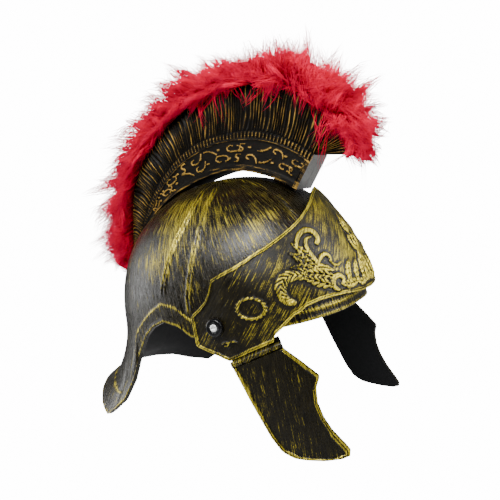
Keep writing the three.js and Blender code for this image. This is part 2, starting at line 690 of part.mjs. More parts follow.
function capBody() {
  const at = (share) => mix(capBack, capFace, share);
  const cap = turnedAlongX([[capBack, 0], [capBack, pivotCapRadius], [at(0.68), pivotCapRadius],
    [at(0.9), pivotCapRadius * 0.89], [capFace, pivotCapRadius * 0.72], [capFace, 0]], 12);
  return cut(cap, [bar(capBack - 1, capFace + 1, pivotScrewRadius + clearance, 8),
    bar(headSeat, capFace + 1, screwHeadRadius + clearance, 10)]);
}

function screwBody() {
  const headBack = headSeat + clearance;
  const headTop = headBack + screwHeadHeight;
  const nutFace = domeHalfWidth * 0.977 - shellWall - clearance;
  const shaftEnd = nutFace - nutDepth * 1.33;
  const shaft = turnedAlongX([[shaftEnd, 0], [shaftEnd, pivotScrewRadius],
    [headBack, pivotScrewRadius], [headBack, screwHeadRadius],
    [mix(headBack, headTop, 0.68), screwHeadRadius], [headTop, screwHeadRadius * 0.6], [headTop, 0]], 8);
  const nut = bar(nutFace - nutDepth, nutFace, nutRadius, 6);
  const slot = [screwHeadRadius * 0.62, screwHeadRadius * 0.13];
  const slots = [slot, [...slot].reverse()].map(([y, z]) => (
    block([mix(headBack, headTop, 0.6), -y, -z], [headTop + clearance, y, z])));
  return cut(join([shaft, nut]), slots);
}

// Crest

// A place on the middle plane from which a section of the crest rises
const radialFrame = (lean) => ({ lean, origin: polarPoint(lean, spineReach(lean), 0) });

function fanFrame(turn) {
  const first = crestStations[0];
  const corner = polarPoint(first.lean, spineReach(first.lean) + first.groove * crestHeight, 0);
  return { lean: first.lean + turn, origin: corner };
}

function framePoint({ lean, origin }, [across, rise]) {
  return new THREE.Vector3(across, origin.y - rise * Math.sin(radians(lean)),
    origin.z + rise * Math.cos(radians(lean)));
}

const crestAt = (lean) => readTable(crestStations, 'lean', lean);

// The leans of the crest's stations, with `steps` steps between each two rows of its table
function leansOfCrest(steps) {
  const leans = crestStations.slice(1).flatMap((row, i) => (
    Array.from({ length: steps }, (_, step) => mix(crestStations[i].lean, row.lean, step / steps))));
  return [...leans, crestStations[crestStations.length - 1].lean];
}

const crestLeans = leansOfCrest(2);

function bandOutline(lean) {
  const row = crestAt(lean);
  const half = row.width * crestHalfWidth;
  const [foot, band, groove] = [row.foot, row.band, row.groove].map((share) => share * crestHeight);
  const tall = band - foot;
  const seam = seamGap / 2;
  const [field, step] = [0.055, 0.11].map((share) => half - share * crestHalfWidth);
  return [[seam, foot], [half, foot], [half, foot + tall * 0.18], [field, foot + tall * 0.22],
    [field, band - tall * 0.05], [half, band], [step, mix(band, groove, 0.3)],
    [step, groove], [seam, groove]];
}

function fluteOutline(half, low, high, ripple) {
  const seam = seamGap / 2;
  const spot = (inset, share, wave) => (
    [half - inset * crestHalfWidth + wave, mix(low, high, share)]);
  return [[seam, low], spot(0.145, 0, 0), spot(0.12, 0.05, 0), spot(0.033, 0.22, ripple),
    spot(-0.022, 0.5, ripple), spot(0.045, 0.82, ripple), spot(0.22, 1, 0), [seam, high]];
}

function fluteSections() {
  const fan = [...fanStations].reverse().map(({ turn, flute }, i) => {
    const ripple = i % 2 === 0 ? fluteDepth : -fluteDepth;
    const outline = fluteOutline(crestHalfWidth, fluteSunk, flute * crestHeight, ripple);
    return outline.map((spot) => framePoint(fanFrame(turn), spot));
  });
  const rest = crestLeans.map((lean, i) => {
    const row = crestAt(lean);
    const ripple = (i % 2 === 0 ? fluteDepth : -fluteDepth) * Math.min(1, (row.top - row.groove) * 4);
    const low = row.groove * crestHeight - fluteSunk;
    const outline = fluteOutline(row.width * crestHalfWidth, low, row.top * crestHeight, ripple);
    return outline.map((spot) => framePoint(radialFrame(lean), spot));
  });
  return [...fan, ...rest];
}

// The space inside the crest, between a lean near the front and one where it gets too low
function crestCore() {
  const leans = Array.from({ length: 16 }, (_, i) => mix(crestStations[0].lean - 2, -40, i / 15));
  const outline = (lean) => {
    const row = crestAt(lean);
    const side = (share) => row.width * crestHalfWidth - crestWall - share * crestHalfWidth;
    const [foot, groove, top] = [row.foot, row.groove, row.top].map((share) => share * crestHeight);
    return [[-seamGap, foot + crestWall], [side(0.067), foot + crestWall], [side(0.133), groove],
      [side(0.033), mix(groove, top, 0.5)], [side(0.22), top - crestWall],
      [-seamGap, top - crestWall]];
  };
  return loftBody(leans.map((lean) => (
    outline(lean).map((spot) => framePoint(radialFrame(lean), spot)))), outline(0));
}

// Feet under the crest that stand on the bowl's spine
function crestFoot(lean) {
  const [inner, outer] = [0.11, 0.55].map((share) => share * crestHalfWidth);
  const spots = [-3, 0, 3].map((step) => {
    const [base, top] = [spineRise + clearance, crestAt(lean + step).foot * crestHeight + crestWall / 2];
    const flat = [[inner, base], [outer, base], [outer, top], [inner, top]];
    return { flat, section: flat.map((spot) => framePoint(radialFrame(lean + step), spot)) };
  });
  return loftBody(spots.map(({ section }) => section), spots[0].flat);
}

const crestFeet = [31, -24, -67];

function crestHalf() {
  const bands = loftBody(crestLeans.map((lean) => (
    bandOutline(lean).map((spot) => framePoint(radialFrame(lean), spot)))), bandOutline(0));
  const flutes = loftBody(fluteSections(), fluteOutline(crestHalfWidth, 0, crestHeight, 0));
  return cut(join([bands, flutes, ...crestFeet.map(crestFoot)]), [crestCore()]);
}

// Feather trim

const trimFrames = [
  ...[...fanStations].reverse().map(({ turn, flute, trim }) => ({
    ...fanFrame(turn), low: flute * crestHeight, high: trim * plumeHeight, width: 1 })),
  ...crestLeans.slice(0, -1).map((lean) => {
    const row = crestAt(lean);
    return { ...radialFrame(lean), low: row.top * crestHeight, high: row.trim * plumeHeight,
      width: row.width };
  }),
];

function trimBacking() {
  const outline = ({ low, high, width }) => {
    const half = 0.78 * crestHalfWidth * width;
    const rise = (share) => mix(low + clearance, high, share);
    return [[-half, rise(0)], [half, rise(0)], [half * 1.25, rise(0.3)], [half * 0.8, rise(0.6)],
      [-half * 0.8, rise(0.6)], [-half * 1.25, rise(0.3)]];
  };
  return loftBody(trimFrames.map((frame) => (
    outline(frame).map((spot) => framePoint(frame, spot)))), outline(trimFrames[10]));
}

// One lock of feather: it starts inside the backing and tapers to a tip swept to the rear
function featherLock(frame, side) {
  const { low, high, width } = frame;
  const reach = mix(1, 0.82, Math.abs(side));
  const thick = 0.27 * plumeHalfWidth;
  const flat = [[-thick, -thick], [thick, -thick], [thick, thick], [-thick, thick]];
  const steps = [
    { share: 0.25, across: 0.42, sweep: 0, size: 1 },
    { share: 0.7, across: 0.8, sweep: 0.06, size: 0.8 },
    { share: reach, across: 1, sweep: 0.2, size: 0.16 },
  ];
  const back = new THREE.Vector3(0, Math.cos(radians(frame.lean)), Math.sin(radians(frame.lean)));
  return loftBody(steps.map(({ share, across, sweep, size }) => {
    const middle = framePoint(frame, [side * across * plumeHalfWidth * width, mix(low, high, share)]);
    return flat.map(([u, v]) => middle.clone()
      .add(new THREE.Vector3(u * size, 0, 0)).addScaledVector(back, v * size + sweep * plumeHalfWidth));
  }), flat);
}

function plumeBody() {
  const locks = trimFrames.filter((_, i) => i % 2 === 0).flatMap((frame, i) => (
    (i % 2 === 0 ? [-1, 1] : [-0.35, 0.35]).map((side) => featherLock(frame, side))));
  return join([trimBacking(), ...locks]);
}

// Assembly

function piece(name, geometry, material) {
  const mesh = new THREE.Mesh(geometry, material);
  mesh.name = name;
  return mesh;
}

const helmet = new THREE.Group();
helmet.name = 'roman_legionary_helmet';
helmet.add(piece('dome', domeBody(), antiqueGold));

const pivots = new THREE.Group();
pivots.position.set(0, -pivotAhead, pivotLevel);
pivots.add(piece('visor', visorBody(), antiqueGold));

const leftGuard = guardBody();
const hang = hangingAngle(leftGuard);
leftGuard.rotateX(hang).applyMatrix4(hingeFrame());
const leftPin = bar(0.2, hingeLength - 0.2, pinRadius, 8).applyMatrix4(hingeFrame());
const sides = [
  { name: 'left', place: (geometry) => geometry },
  { name: 'right', place: mirrored },
];
const leftCrest = crestHalf();
for (const { name, place } of sides) {
  pivots.add(piece(`cheek_guard_${name}`, place(leftGuard), antiqueGold));
  pivots.add(piece(`hinge_pin_${name}`, place(leftPin), steel));
  pivots.add(piece(`pivot_cap_${name}`, place(capBody()), blackPlastic));
  pivots.add(piece(`pivot_screw_${name}`, place(screwBody()), steel));
  helmet.add(piece(`crest_${name}`, place(leftCrest), darkGold));
}
helmet.add(pivots);
helmet.add(piece('plume', plumeBody(), redFeather));

export default helmet;
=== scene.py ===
import math
import bpy
import numpy as np
from mathutils import Matrix, Vector


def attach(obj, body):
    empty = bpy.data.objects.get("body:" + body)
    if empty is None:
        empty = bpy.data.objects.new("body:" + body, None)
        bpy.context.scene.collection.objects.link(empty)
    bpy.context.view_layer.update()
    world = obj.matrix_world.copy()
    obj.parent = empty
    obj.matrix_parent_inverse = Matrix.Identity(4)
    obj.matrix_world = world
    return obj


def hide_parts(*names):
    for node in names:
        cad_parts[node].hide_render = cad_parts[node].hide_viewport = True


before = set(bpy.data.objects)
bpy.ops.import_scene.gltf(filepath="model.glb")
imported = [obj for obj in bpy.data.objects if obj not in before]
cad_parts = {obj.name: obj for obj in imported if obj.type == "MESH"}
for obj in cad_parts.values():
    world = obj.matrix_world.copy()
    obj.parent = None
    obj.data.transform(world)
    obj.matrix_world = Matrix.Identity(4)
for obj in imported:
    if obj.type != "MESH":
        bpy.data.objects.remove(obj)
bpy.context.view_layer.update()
mm = 0.001  # every table below is in millimetres, in the frame of the helmet

print("stage: camera, lights and backdrop")

studio = {
    "cameraSpot": (-0.50125, -0.27589, -0.04076),
    "cameraRight": (0.44604, -0.87546, -0.18609),
    "cameraUp": (0.12554, -0.14466, 0.98149),
    "lens": 43.2,
    "floorHeight": -0.62,
    "floorRadius": 9,
    "worldLight": 0.16,
    "backdropGlow": 15.0,
}
# each lamp's place, the spot that it faces, its width and height, and its power
lamps = {
    "keyLamp": ((-0.95, -0.3, 0.95), (0, 0, -0.03), (0.8, 0.4), 42),
    "frontLamp": ((0.35, -1.2, 0.35), (0.02, -0.1, -0.1), (0.5, 0.9), 27),
    "rearLamp": ((-0.35, 1.15, 0.25), (0, 0.1, -0.1), (0.5, 0.9), 14),
}
white = (1, 1, 1, 1)
insideWear = -3  # so far below zero that the inner walls take no paint


def clearSelection():
    bpy.ops.object.select_all(action="DESELECT")


def pickOnly(piece):
    clearSelection()
    piece.select_set(True)
    bpy.context.view_layer.objects.active = piece


def plainNode(tree, kind, **values):
    node = tree.nodes.new(kind)
    for key, value in values.items():
        if key in node.inputs:
            node.inputs[key].default_value = value
        else:
            setattr(node, key, value)
    return node


def glowForCamera(tree, glowKind, shader, output):
    # the backdrop shines white to the camera alone, and lights the helmet by its plain shader
    glow = plainNode(tree, glowKind, Color=white, Strength=studio["backdropGlow"])
    rayKind, mix = plainNode(tree, "ShaderNodeLightPath"), plainNode(tree, "ShaderNodeMixShader")
    tree.links.new(rayKind.outputs["Is Camera Ray"], mix.inputs[0])
    tree.links.new(shader.outputs[0], mix.inputs[1])
    tree.links.new(glow.outputs[0], mix.inputs[2])
    tree.links.new(mix.outputs[0], output.inputs["Surface"])


right, up = Vector(studio["cameraRight"]), Vector(studio["cameraUp"])
cameraData = bpy.data.cameras.new("camera")
cameraData.lens = studio["lens"]
cameraData.sensor_width = 36
camera = bpy.data.objects.new("camera", cameraData)
bpy.context.scene.collection.objects.link(camera)
camera.matrix_world = Matrix((right, up, right.cross(up))).transposed().to_4x4()
camera.location = studio["cameraSpot"]
bpy.context.scene.camera = camera

for name, (spot, aim, size, power) in lamps.items():
    clearSelection()
    bpy.ops.object.light_add(type="AREA", location=spot)
    lamp = bpy.context.object
    lamp.name = name
    lamp.data.shape = "RECTANGLE"
    lamp.data.size, lamp.data.size_y = size
    lamp.data.energy = power
    lamp.rotation_euler = (Vector(aim) - Vector(spot)).to_track_quat("-Z", "Y").to_euler()

world = bpy.data.worlds.new("paleRoom")
bpy.context.scene.world = world
world.use_nodes = True
worldNodes = world.node_tree.nodes
worldNodes["Background"].inputs["Color"].default_value = white
worldNodes["Background"].inputs["Strength"].default_value = studio["worldLight"]
glowForCamera(world.node_tree, "ShaderNodeBackground", worldNodes["Background"], worldNodes["World Output"])

print("stage: materials")

# the strokes' noise: scales across and along them per millimetre, detail, and each one's share
brushLook = {
    "fine": ((1.3, 0.07, 1), 3, 0.5), "broad": ((0.62, 0.035, 1), 3, 0.3), "speck": ((1.3, 0.6, 1), 2, 0.2),
    "patch": ((0.03, 0.018, 1), 2, 0.62),
    "contrast": 2.1, "raisedShare": 0.3, "goldEdge": 3.4, "streakFloor": 0.38, "streakGain": 4.2,
    "proudShare": 0.4, "bumpDepth": 0.0004,
}
grainLook = {"scale": 700.0, "detail": 3.0, "darkest": 0.72, "roughSpread": 0.16, "bumpDepth": 0.0002}


def mathNode(tree, operation, first, second, clamp=False):
    node = plainNode(tree, "ShaderNodeMath", operation=operation, use_clamp=clamp)
    for slot, value in ((0, first), (1, second)):
        if isinstance(value, (int, float)):
            node.inputs[slot].default_value = value
        else:
            tree.links.new(value, node.inputs[slot])
    return node.outputs[0]


def spreadNode(tree, value, middle, gain, clamp=False):
    return mathNode(tree, "MULTIPLY", mathNode(tree, "SUBTRACT", value, middle), gain, clamp)


def mixColour(tree, share, first, second):
    node = plainNode(tree, "ShaderNodeMix", data_type="RGBA")
    for slot, value in ((0, share), (6, first), (7, second)):
        if isinstance(value, tuple):
            node.inputs[slot].default_value = (*value, 1)
        else:
            tree.links.new(value, node.inputs[slot])
    return node.outputs[2]


def addBump(tree, shader, height, strength, depth):
    bump = plainNode(tree, "ShaderNodeBump", Strength=strength, Distance=depth)
    tree.links.new(height, bump.inputs["Height"])
    tree.links.new(bump.outputs[0], shader.inputs["Normal"])


def stretchedNoise(tree, space, scale, detail):
    mapping = plainNode(tree, "ShaderNodeMapping")
    mapping.inputs["Scale"].default_value = scale
    tree.links.new(space, mapping.inputs["Vector"])
    noise = plainNode(tree, "ShaderNodeTexNoise", Scale=1.0, Detail=detail, Roughness=0.6)
    tree.links.new(mapping.outputs[0], noise.inputs["Vector"])
    return noise.outputs["Fac"]


def buildDryBrush():
    # gold paint dragged over black plastic: fine streaks, broad patches, more on raised lines
    group = bpy.data.node_groups.new("dryBrush", "ShaderNodeTree")
    for name, kind in (("Space", "NodeSocketVector"), ("Raised", "NodeSocketFloat"),
                       ("Amount", "NodeSocketFloat"), ("Tilt", "NodeSocketFloat")):
        group.interface.new_socket(name=name, in_out="INPUT", socket_type=kind)
    for name in ("Gold", "Streak"):
        group.interface.new_socket(name=name, in_out="OUTPUT", socket_type="NodeSocketFloat")
    inside = plainNode(group, "NodeGroupInput")
    outside = plainNode(group, "NodeGroupOutput")
    turned = plainNode(group, "ShaderNodeVectorRotate", rotation_type="Z_AXIS")
    group.links.new(inside.outputs["Space"], turned.inputs["Vector"])
    group.links.new(inside.outputs["Tilt"], turned.inputs["Angle"])
    streak = None
    for key in ("fine", "broad", "speck"):
        scale, detail, share = brushLook[key]
        part = mathNode(group, "MULTIPLY", stretchedNoise(group, turned.outputs[0], scale, detail), share)
        streak = mathNode(group, "ADD", streak, part) if streak else part
    scale, detail, share = brushLook["patch"]
    patch = spreadNode(group, stretchedNoise(group, turned.outputs[0], scale, detail), 0.5, share)
    level = mathNode(group, "ADD", spreadNode(group, streak, 0.5, brushLook["contrast"]), patch)
    raised = mathNode(group, "MULTIPLY", inside.outputs["Raised"], brushLook["raisedShare"])
    level = mathNode(group, "ADD", mathNode(group, "ADD", level, raised), inside.outputs["Amount"])
    gold = mathNode(group, "MULTIPLY", level, brushLook["goldEdge"], clamp=True)
    streak = spreadNode(group, streak, brushLook["streakFloor"], brushLook["streakGain"], clamp=True)
    group.links.new(gold, outside.inputs["Gold"])
    group.links.new(streak, outside.inputs["Streak"])
    return group


dryBrush = buildDryBrush()


def newMaterial(name, gloss):
    material = bpy.data.materials.new(name)
    material.use_nodes = True
    shader = material.node_tree.nodes["Principled BSDF"]
    shader.inputs["Specular IOR Level"].default_value = gloss
    return material, material.node_tree, shader


def agedMaterial(name, look):
    material, tree, shader = newMaterial(name, look["gloss"])
    space = plainNode(tree, "ShaderNodeAttribute", attribute_name="strokeSpace")
    raised = plainNode(tree, "ShaderNodeAttribute", attribute_name="raised")
    brush = plainNode(tree, "ShaderNodeGroup", node_tree=dryBrush)
    tree.links.new(space.outputs["Vector"], brush.inputs["Space"])
    tree.links.new(raised.outputs["Fac"], brush.inputs["Raised"])
    brush.inputs["Amount"].default_value = look["amount"]
    brush.inputs["Tilt"].default_value = math.radians(look["tilt"])
    gold, streak = brush.outputs["Gold"], brush.outputs["Streak"]
    proud = spreadNode(tree, raised.outputs["Fac"], 0.5, brushLook["proudShare"])
    bright = mathNode(tree, "ADD", streak, proud, clamp=True)
    paint = mixColour(tree, bright, look["darkGold"], look["lightGold"])
    ground = mixColour(tree, streak, look["ground"], look["film"])
    tree.links.new(mixColour(tree, gold, ground, paint), shader.inputs["Base Color"])
    tree.links.new(mathNode(tree, "MULTIPLY", gold, look["metal"]), shader.inputs["Metallic"])
    rough = mathNode(tree, "ADD", mathNode(tree, "MULTIPLY", streak, look["roughSpread"]), look["rough"])
    tree.links.new(rough, shader.inputs["Roughness"])
    addBump(tree, shader, streak, look["bump"], brushLook["bumpDepth"])
    return material


def plainMaterial(name, colour, rough, metal=0.0, grain=0.0, gloss=0.5):
    material, tree, shader = newMaterial(name, gloss)
    shader.inputs["Metallic"].default_value = metal
    spot = plainNode(tree, "ShaderNodeTexCoord")
    noise = plainNode(tree, "ShaderNodeTexNoise", Scale=grainLook["scale"], Detail=grainLook["detail"])
    tree.links.new(spot.outputs["Object"], noise.inputs["Vector"])
    darker = tuple(value * grainLook["darkest"] for value in colour)
    tree.links.new(mixColour(tree, noise.outputs["Fac"], darker, colour), shader.inputs["Base Color"])
    uneven = mathNode(tree, "MULTIPLY", noise.outputs["Fac"], grainLook["roughSpread"])
    roughness = mathNode(tree, "ADD", uneven, rough - grainLook["roughSpread"] / 2)
    tree.links.new(roughness, shader.inputs["Roughness"])
    addBump(tree, shader, noise.outputs["Fac"], grain, grainLook["bumpDepth"])
    return material


bowlLook = {
    "amount": -0.06, "tilt": 8, "darkGold": (0.085, 0.064, 0.007), "lightGold": (0.56, 0.45, 0.036),
    "ground": (0.0008, 0.0007, 0.0007), "film": (0.011, 0.0085, 0.0022),
    "metal": 0.7, "rough": 0.17, "roughSpread": 0.2, "bump": 0.5, "gloss": 0.28,
}
browLook = {**bowlLook, "amount": -0.07, "tilt": -40, "rough": 0.26, "gloss": 0.18}
guardLook = {**bowlLook, "amount": -0.12, "tilt": 14, "gloss": 0.18}
crestLook = {
    **bowlLook, "tilt": 0, "darkGold": (0.10, 0.06, 0.015), "lightGold": (0.36, 0.215, 0.045),
    "ground": (0.0008, 0.0008, 0.001), "film": (0.006, 0.0045, 0.002), "rough": 0.42, "gloss": 0.09,
}
agedBowl = agedMaterial("agedGoldBowl", bowlLook)
agedBrow = agedMaterial("agedGoldBrow", browLook)
agedGuard = agedMaterial("agedGoldGuard", guardLook)
agedCrest = agedMaterial("agedBronzeCrest", crestLook)
darkInside = plainMaterial("darkInside", (0.0012, 0.0012, 0.0016), 0.5, grain=0.3, gloss=0.1)
# the crest's flat front end is coloured pale grey
paleEnd = plainMaterial("paleGreyEnd", (0.24, 0.24, 0.23), 0.3, 0.5, 0.1)
capPlastic = plainMaterial("capBlackPlastic", (0.0015, 0.0015, 0.002), 0.28, grain=0.1, gloss=0.3)
zincSteel = plainMaterial("zincSteel", (0.95, 0.95, 0.93), 0.3, 0.35, 0.2)
paleFloor = plainMaterial("paleFloor", (0.85, 0.85, 0.85), 0.7)

clearSelection()
bpy.ops.mesh.primitive_circle_add(vertices=96, radius=studio["floorRadius"], fill_type="NGON",
                                  location=(0, 0, studio["floorHeight"]))
floor = bpy.context.object
floor.name = "floor"
floorTree = paleFloor.node_tree
glowForCamera(floorTree, "ShaderNodeEmission", floorTree.nodes["Principled BSDF"],
              floorTree.nodes["Material Output"])
floor.data.materials.append(paleFloor)


def smooth(value):
    share = np.clip(value, 0, 1)
    return share * share * (3 - 2 * share)


def doubleBead(fromEdge, width):
    # two fine rounded lines side by side along an edge
    outer, inner = (fromEdge - width * 0.2) / (width * 0.26), (fromEdge - width * 0.74) / (width * 0.26)
    return np.sqrt(np.clip(1 - np.minimum(outer ** 2, inner ** 2), 0, 1))


def edgePiping(fromEdge, width):
    # the piping along a plate's edge: where it lies, how far it stands out, and its wear
    pipe, bead = smooth((width - fromEdge) / 0.9 + 0.4), doubleBead(fromEdge, width)
    return pipe, pipe * (0.35 + 0.65 * bead), pipe * (bead * 2.4 - 1.1)


def softLine(distance, width):
    # full where the distance is zero, gone a few widths away
    return np.exp(-(distance / width) ** 2)


def column(table, place, key):
    # one column of a table, read at places along its first column
    return np.interp(place, [row[0] for row in table], [row[key] for row in table])


def pointsOf(mesh):
    spots = np.empty(len(mesh.vertices) * 3, np.float32)
    mesh.vertices.foreach_get("co", spots)
    return spots.reshape(-1, 3)


def addValues(mesh, name, values):
    mesh.attributes.new(name, "FLOAT", "POINT").data.foreach_set("value", values.astype(np.float32))


def addBrushValues(mesh, raised, across, along):
    # what the dry brush reads: the wear, and the stroke's place across and along in millimetres
    addValues(mesh, "raised", raised)
    strokes = np.column_stack([across, along, np.zeros(len(raised))]).astype(np.float32)
    mesh.attributes.new("strokeSpace", "FLOAT_VECTOR", "POINT").data.foreach_set("vector", strokes.ravel())


def faceOutwards():
    bpy.ops.mesh.select_all(action="SELECT")
    bpy.ops.mesh.normals_make_consistent(inside=False)
    bpy.ops.object.mode_set(mode="OBJECT")


def gridPiece(name, columns, rows, place, materials, closeEnds=False, angle=40):
    # a grid primitive whose points are set at their places on the shape, welded where it meets itself
    clearSelection()
    bpy.ops.mesh.primitive_grid_add(x_subdivisions=columns, y_subdivisions=rows, size=2)
    piece = bpy.context.object
    piece.name = name
    mesh = piece.data
    spots = pointsOf(mesh)
    across = np.rint((spots[:, 0] + 1) / 2 * columns).astype(int)
    down = np.rint((spots[:, 1] + 1) / 2 * rows).astype(int)
    points, raised, space, inner = place(across, down)
    mesh.vertices.foreach_set("co", (points * mm).astype(np.float32).ravel())
    addBrushValues(mesh, raised, *space)
    for material in materials:
        mesh.materials.append(material)
    if len(materials) > 1:
        corners = np.empty(len(mesh.loops), np.int32)
        mesh.loops.foreach_get("vertex_index", corners)
        deep = inner[corners].reshape(-1, 4).min(axis=1)
        mesh.polygons.foreach_set("material_index", deep.astype(np.int32))
    mesh.update()
    pickOnly(piece)
    bpy.ops.object.mode_set(mode="EDIT")
    bpy.ops.mesh.select_all(action="SELECT")
    bpy.ops.mesh.remove_doubles(threshold=0.00001)
    if closeEnds:
        bpy.ops.mesh.fill_holes(sides=0)
    faceOutwards()
    bpy.ops.object.shade_smooth_by_angle(angle=math.radians(angle))
    return piece


def copyMirrored(piece, name):
    pickOnly(piece)
    bpy.ops.object.duplicate()
    other = bpy.context.object
    other.name = name
    bpy.ops.transform.mirror(constraint_axis=(True, False, False), center_override=(0, 0, 0))
    bpy.ops.object.transform_apply(location=True, rotation=True, scale=True)
    bpy.ops.object.mode_set(mode="EDIT")
    faceOutwards()
    return other


def joinAll(pieces):
    clearSelection()
    for piece in pieces:
        piece.select_set(True)
    bpy.context.view_layer.objects.active = pieces[0]
    bpy.ops.object.join()
    return pieces[0]


def finishPiece(piece, body, slot, *nodes):
    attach(piece, body)
    if nodes:
        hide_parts(*nodes)


print("stage: bowl")

bowl = {
    "halfWidth": 95, "front": 112, "back": 113, "height": 119.5, "planPower": 2.5, "risePower": 2.2,
    "wall": 2.5, "neckDrop": 73, "neckReach": 47, "flareStart": 8, "bandRise": 1.0,
    "spineHalf": 20, "spineFrontHalf": 42, "spineRise": 1.2, "spineFront": 54, "spineRear": -84,
    "ribGap": 1.7, "ribHalf": 1.1, "ribRise": 0.9, "pivotLevel": -117.0, "columns": 440,
    "crownRows": 92, "innerCrownRows": 22, "innerEdgeRows": (0.35, 0.7, 1.0),
    "edgeRows": (0.04, 0.08, 0.13, 0.2, 0.35, 0.5, 0.65, 0.8, 0.9, 0.96, 1.0),
}
# how much gold each part of the bowl takes, or loses where it is below zero
bowlWear = {
    # spine: less gold on the strip under the crest, partly its darker paint and partly painted shade from the
    # crest
    "ribs": 0.75, "spineLine": 0.8, "spine": -0.5, "border": 1.1, "field": -0.2,
    "upper": 0.15, "aroundRibs": 0.55, "low": 0.12, "rear": 0.16,
}
bowlRows = bowl["crownRows"] + len(bowl["edgeRows"]) + len(bowl["innerEdgeRows"]) + bowl["innerCrownRows"] - 1
# turn from the brow in degrees, rim height, rim reach, border height, border reach
rimTable = [
    (0, -0.11, 0, 0.014, 0), (50, -0.13, 0, 0, 0), (85, -0.13, 0, 0.04, 0), (92, -0.11, 0, 0.123, 0),
    (99, 0.027, 0, 0.26, 0), (107.5, 0.096, 0, 0.329, 0), (115, 0.041, 0, 0.247, 0),
    (121, -0.055, 0, 0.151, 0), (125.5, -0.178, 0, 0.068, 0), (129.4, -0.301, 0.026, -0.014, 0.01),
    (131.5, -0.589, 0.19, -0.19, 0.04), (135.3, -0.822, 0.379, -0.548, 0.21),
    (139.4, -0.945, 0.58, -0.74, 0.36), (141.7, -1, 0.7, -0.726, 0.4), (149.7, -0.904, 0.783, -0.658, 0.447),
    (157.1, -0.781, 0.836, -0.589, 0.468), (165.3, -0.712, 0.908, -0.548, 0.5), (180, -0.644, 1, -0.52, 0.51),
]
# height as a share of the bowl's, turn in degrees
ribTables = [
    [(0.235, 106), (0.285, 105.6), (0.47, 102.4), (0.61, 98.4), (0.77, 91.5), (0.955, 87)],
    [(0.08, 91), (0.2, 90.6), (0.49, 85.5), (0.65, 81.7), (0.82, 77), (0.955, 69)],
]


def planRadius(turn, inset):
    side, ahead = np.abs(np.sin(np.radians(turn))), np.cos(np.radians(turn))
    reach = np.where(ahead > 0, bowl["front"], bowl["back"]) - inset
    power = bowl["planPower"]
    total = (side / (bowl["halfWidth"] - inset)) ** power + (np.abs(ahead) / reach) ** power
    return total ** (-1 / power)


def bowlMeridian(turn, inset, crownShares, edgeShares):
    # radius, height and unit normal of one line down the bowl, its run so far and the run at the border
    turn = abs(turn)
    rim, border = (column(rimTable, turn, key) * bowl["neckDrop"] for key in (1, 3))
    rimOut, borderOut = (column(rimTable, turn, key) * bowl["neckReach"] for key in (2, 4))
    radius, height, power = planRadius(turn, inset), bowl["height"] - inset, bowl["risePower"]
    lowAngle = math.asin((max(border, 0) / height) ** (power / 2))
    angles = np.linspace(math.pi / 2, lowAngle, 48)
    levels = height * np.sin(angles) ** (2 / power)
    reaches = radius * np.clip(np.cos(angles), 0, 1) ** (2 / power)
    if border < 0:
        extra = np.arange(-2, border, -2)
        levels = np.concatenate([levels, extra, [border]])
        reaches = np.concatenate([reaches, np.full(len(extra) + 1, radius)])
    if border < bowl["flareStart"]:
        share = np.clip((bowl["flareStart"] - levels) / (bowl["flareStart"] - border), 0, 1)
        reaches = reaches + borderOut * share ** 1.7
    lengths = np.concatenate([[0], np.cumsum(np.hypot(np.diff(reaches), np.diff(levels)))])
    spots = np.asarray(crownShares) * lengths[-1]
    crownR, crownZ = np.interp(spots, lengths, reaches), np.interp(spots, lengths, levels)
    edges, stepOut, stepUp = np.asarray(edgeShares), radius + rimOut - reaches[-1], rim - levels[-1]
    r = np.concatenate([crownR, reaches[-1] + stepOut * edges])
    z = np.concatenate([crownZ, levels[-1] + stepUp * edges])
    down = np.concatenate([spots, lengths[-1] + edges * math.hypot(stepOut, stepUp)])
    stations = down + np.arange(len(down)) * 1e-6  # no two alike
    slopeR, slopeZ = np.gradient(r, stations), np.gradient(z, stations)
    size = np.hypot(slopeR, slopeZ) + 1e-9
    return r, z, -slopeZ / size, slopeR / size, down, lengths[-1]


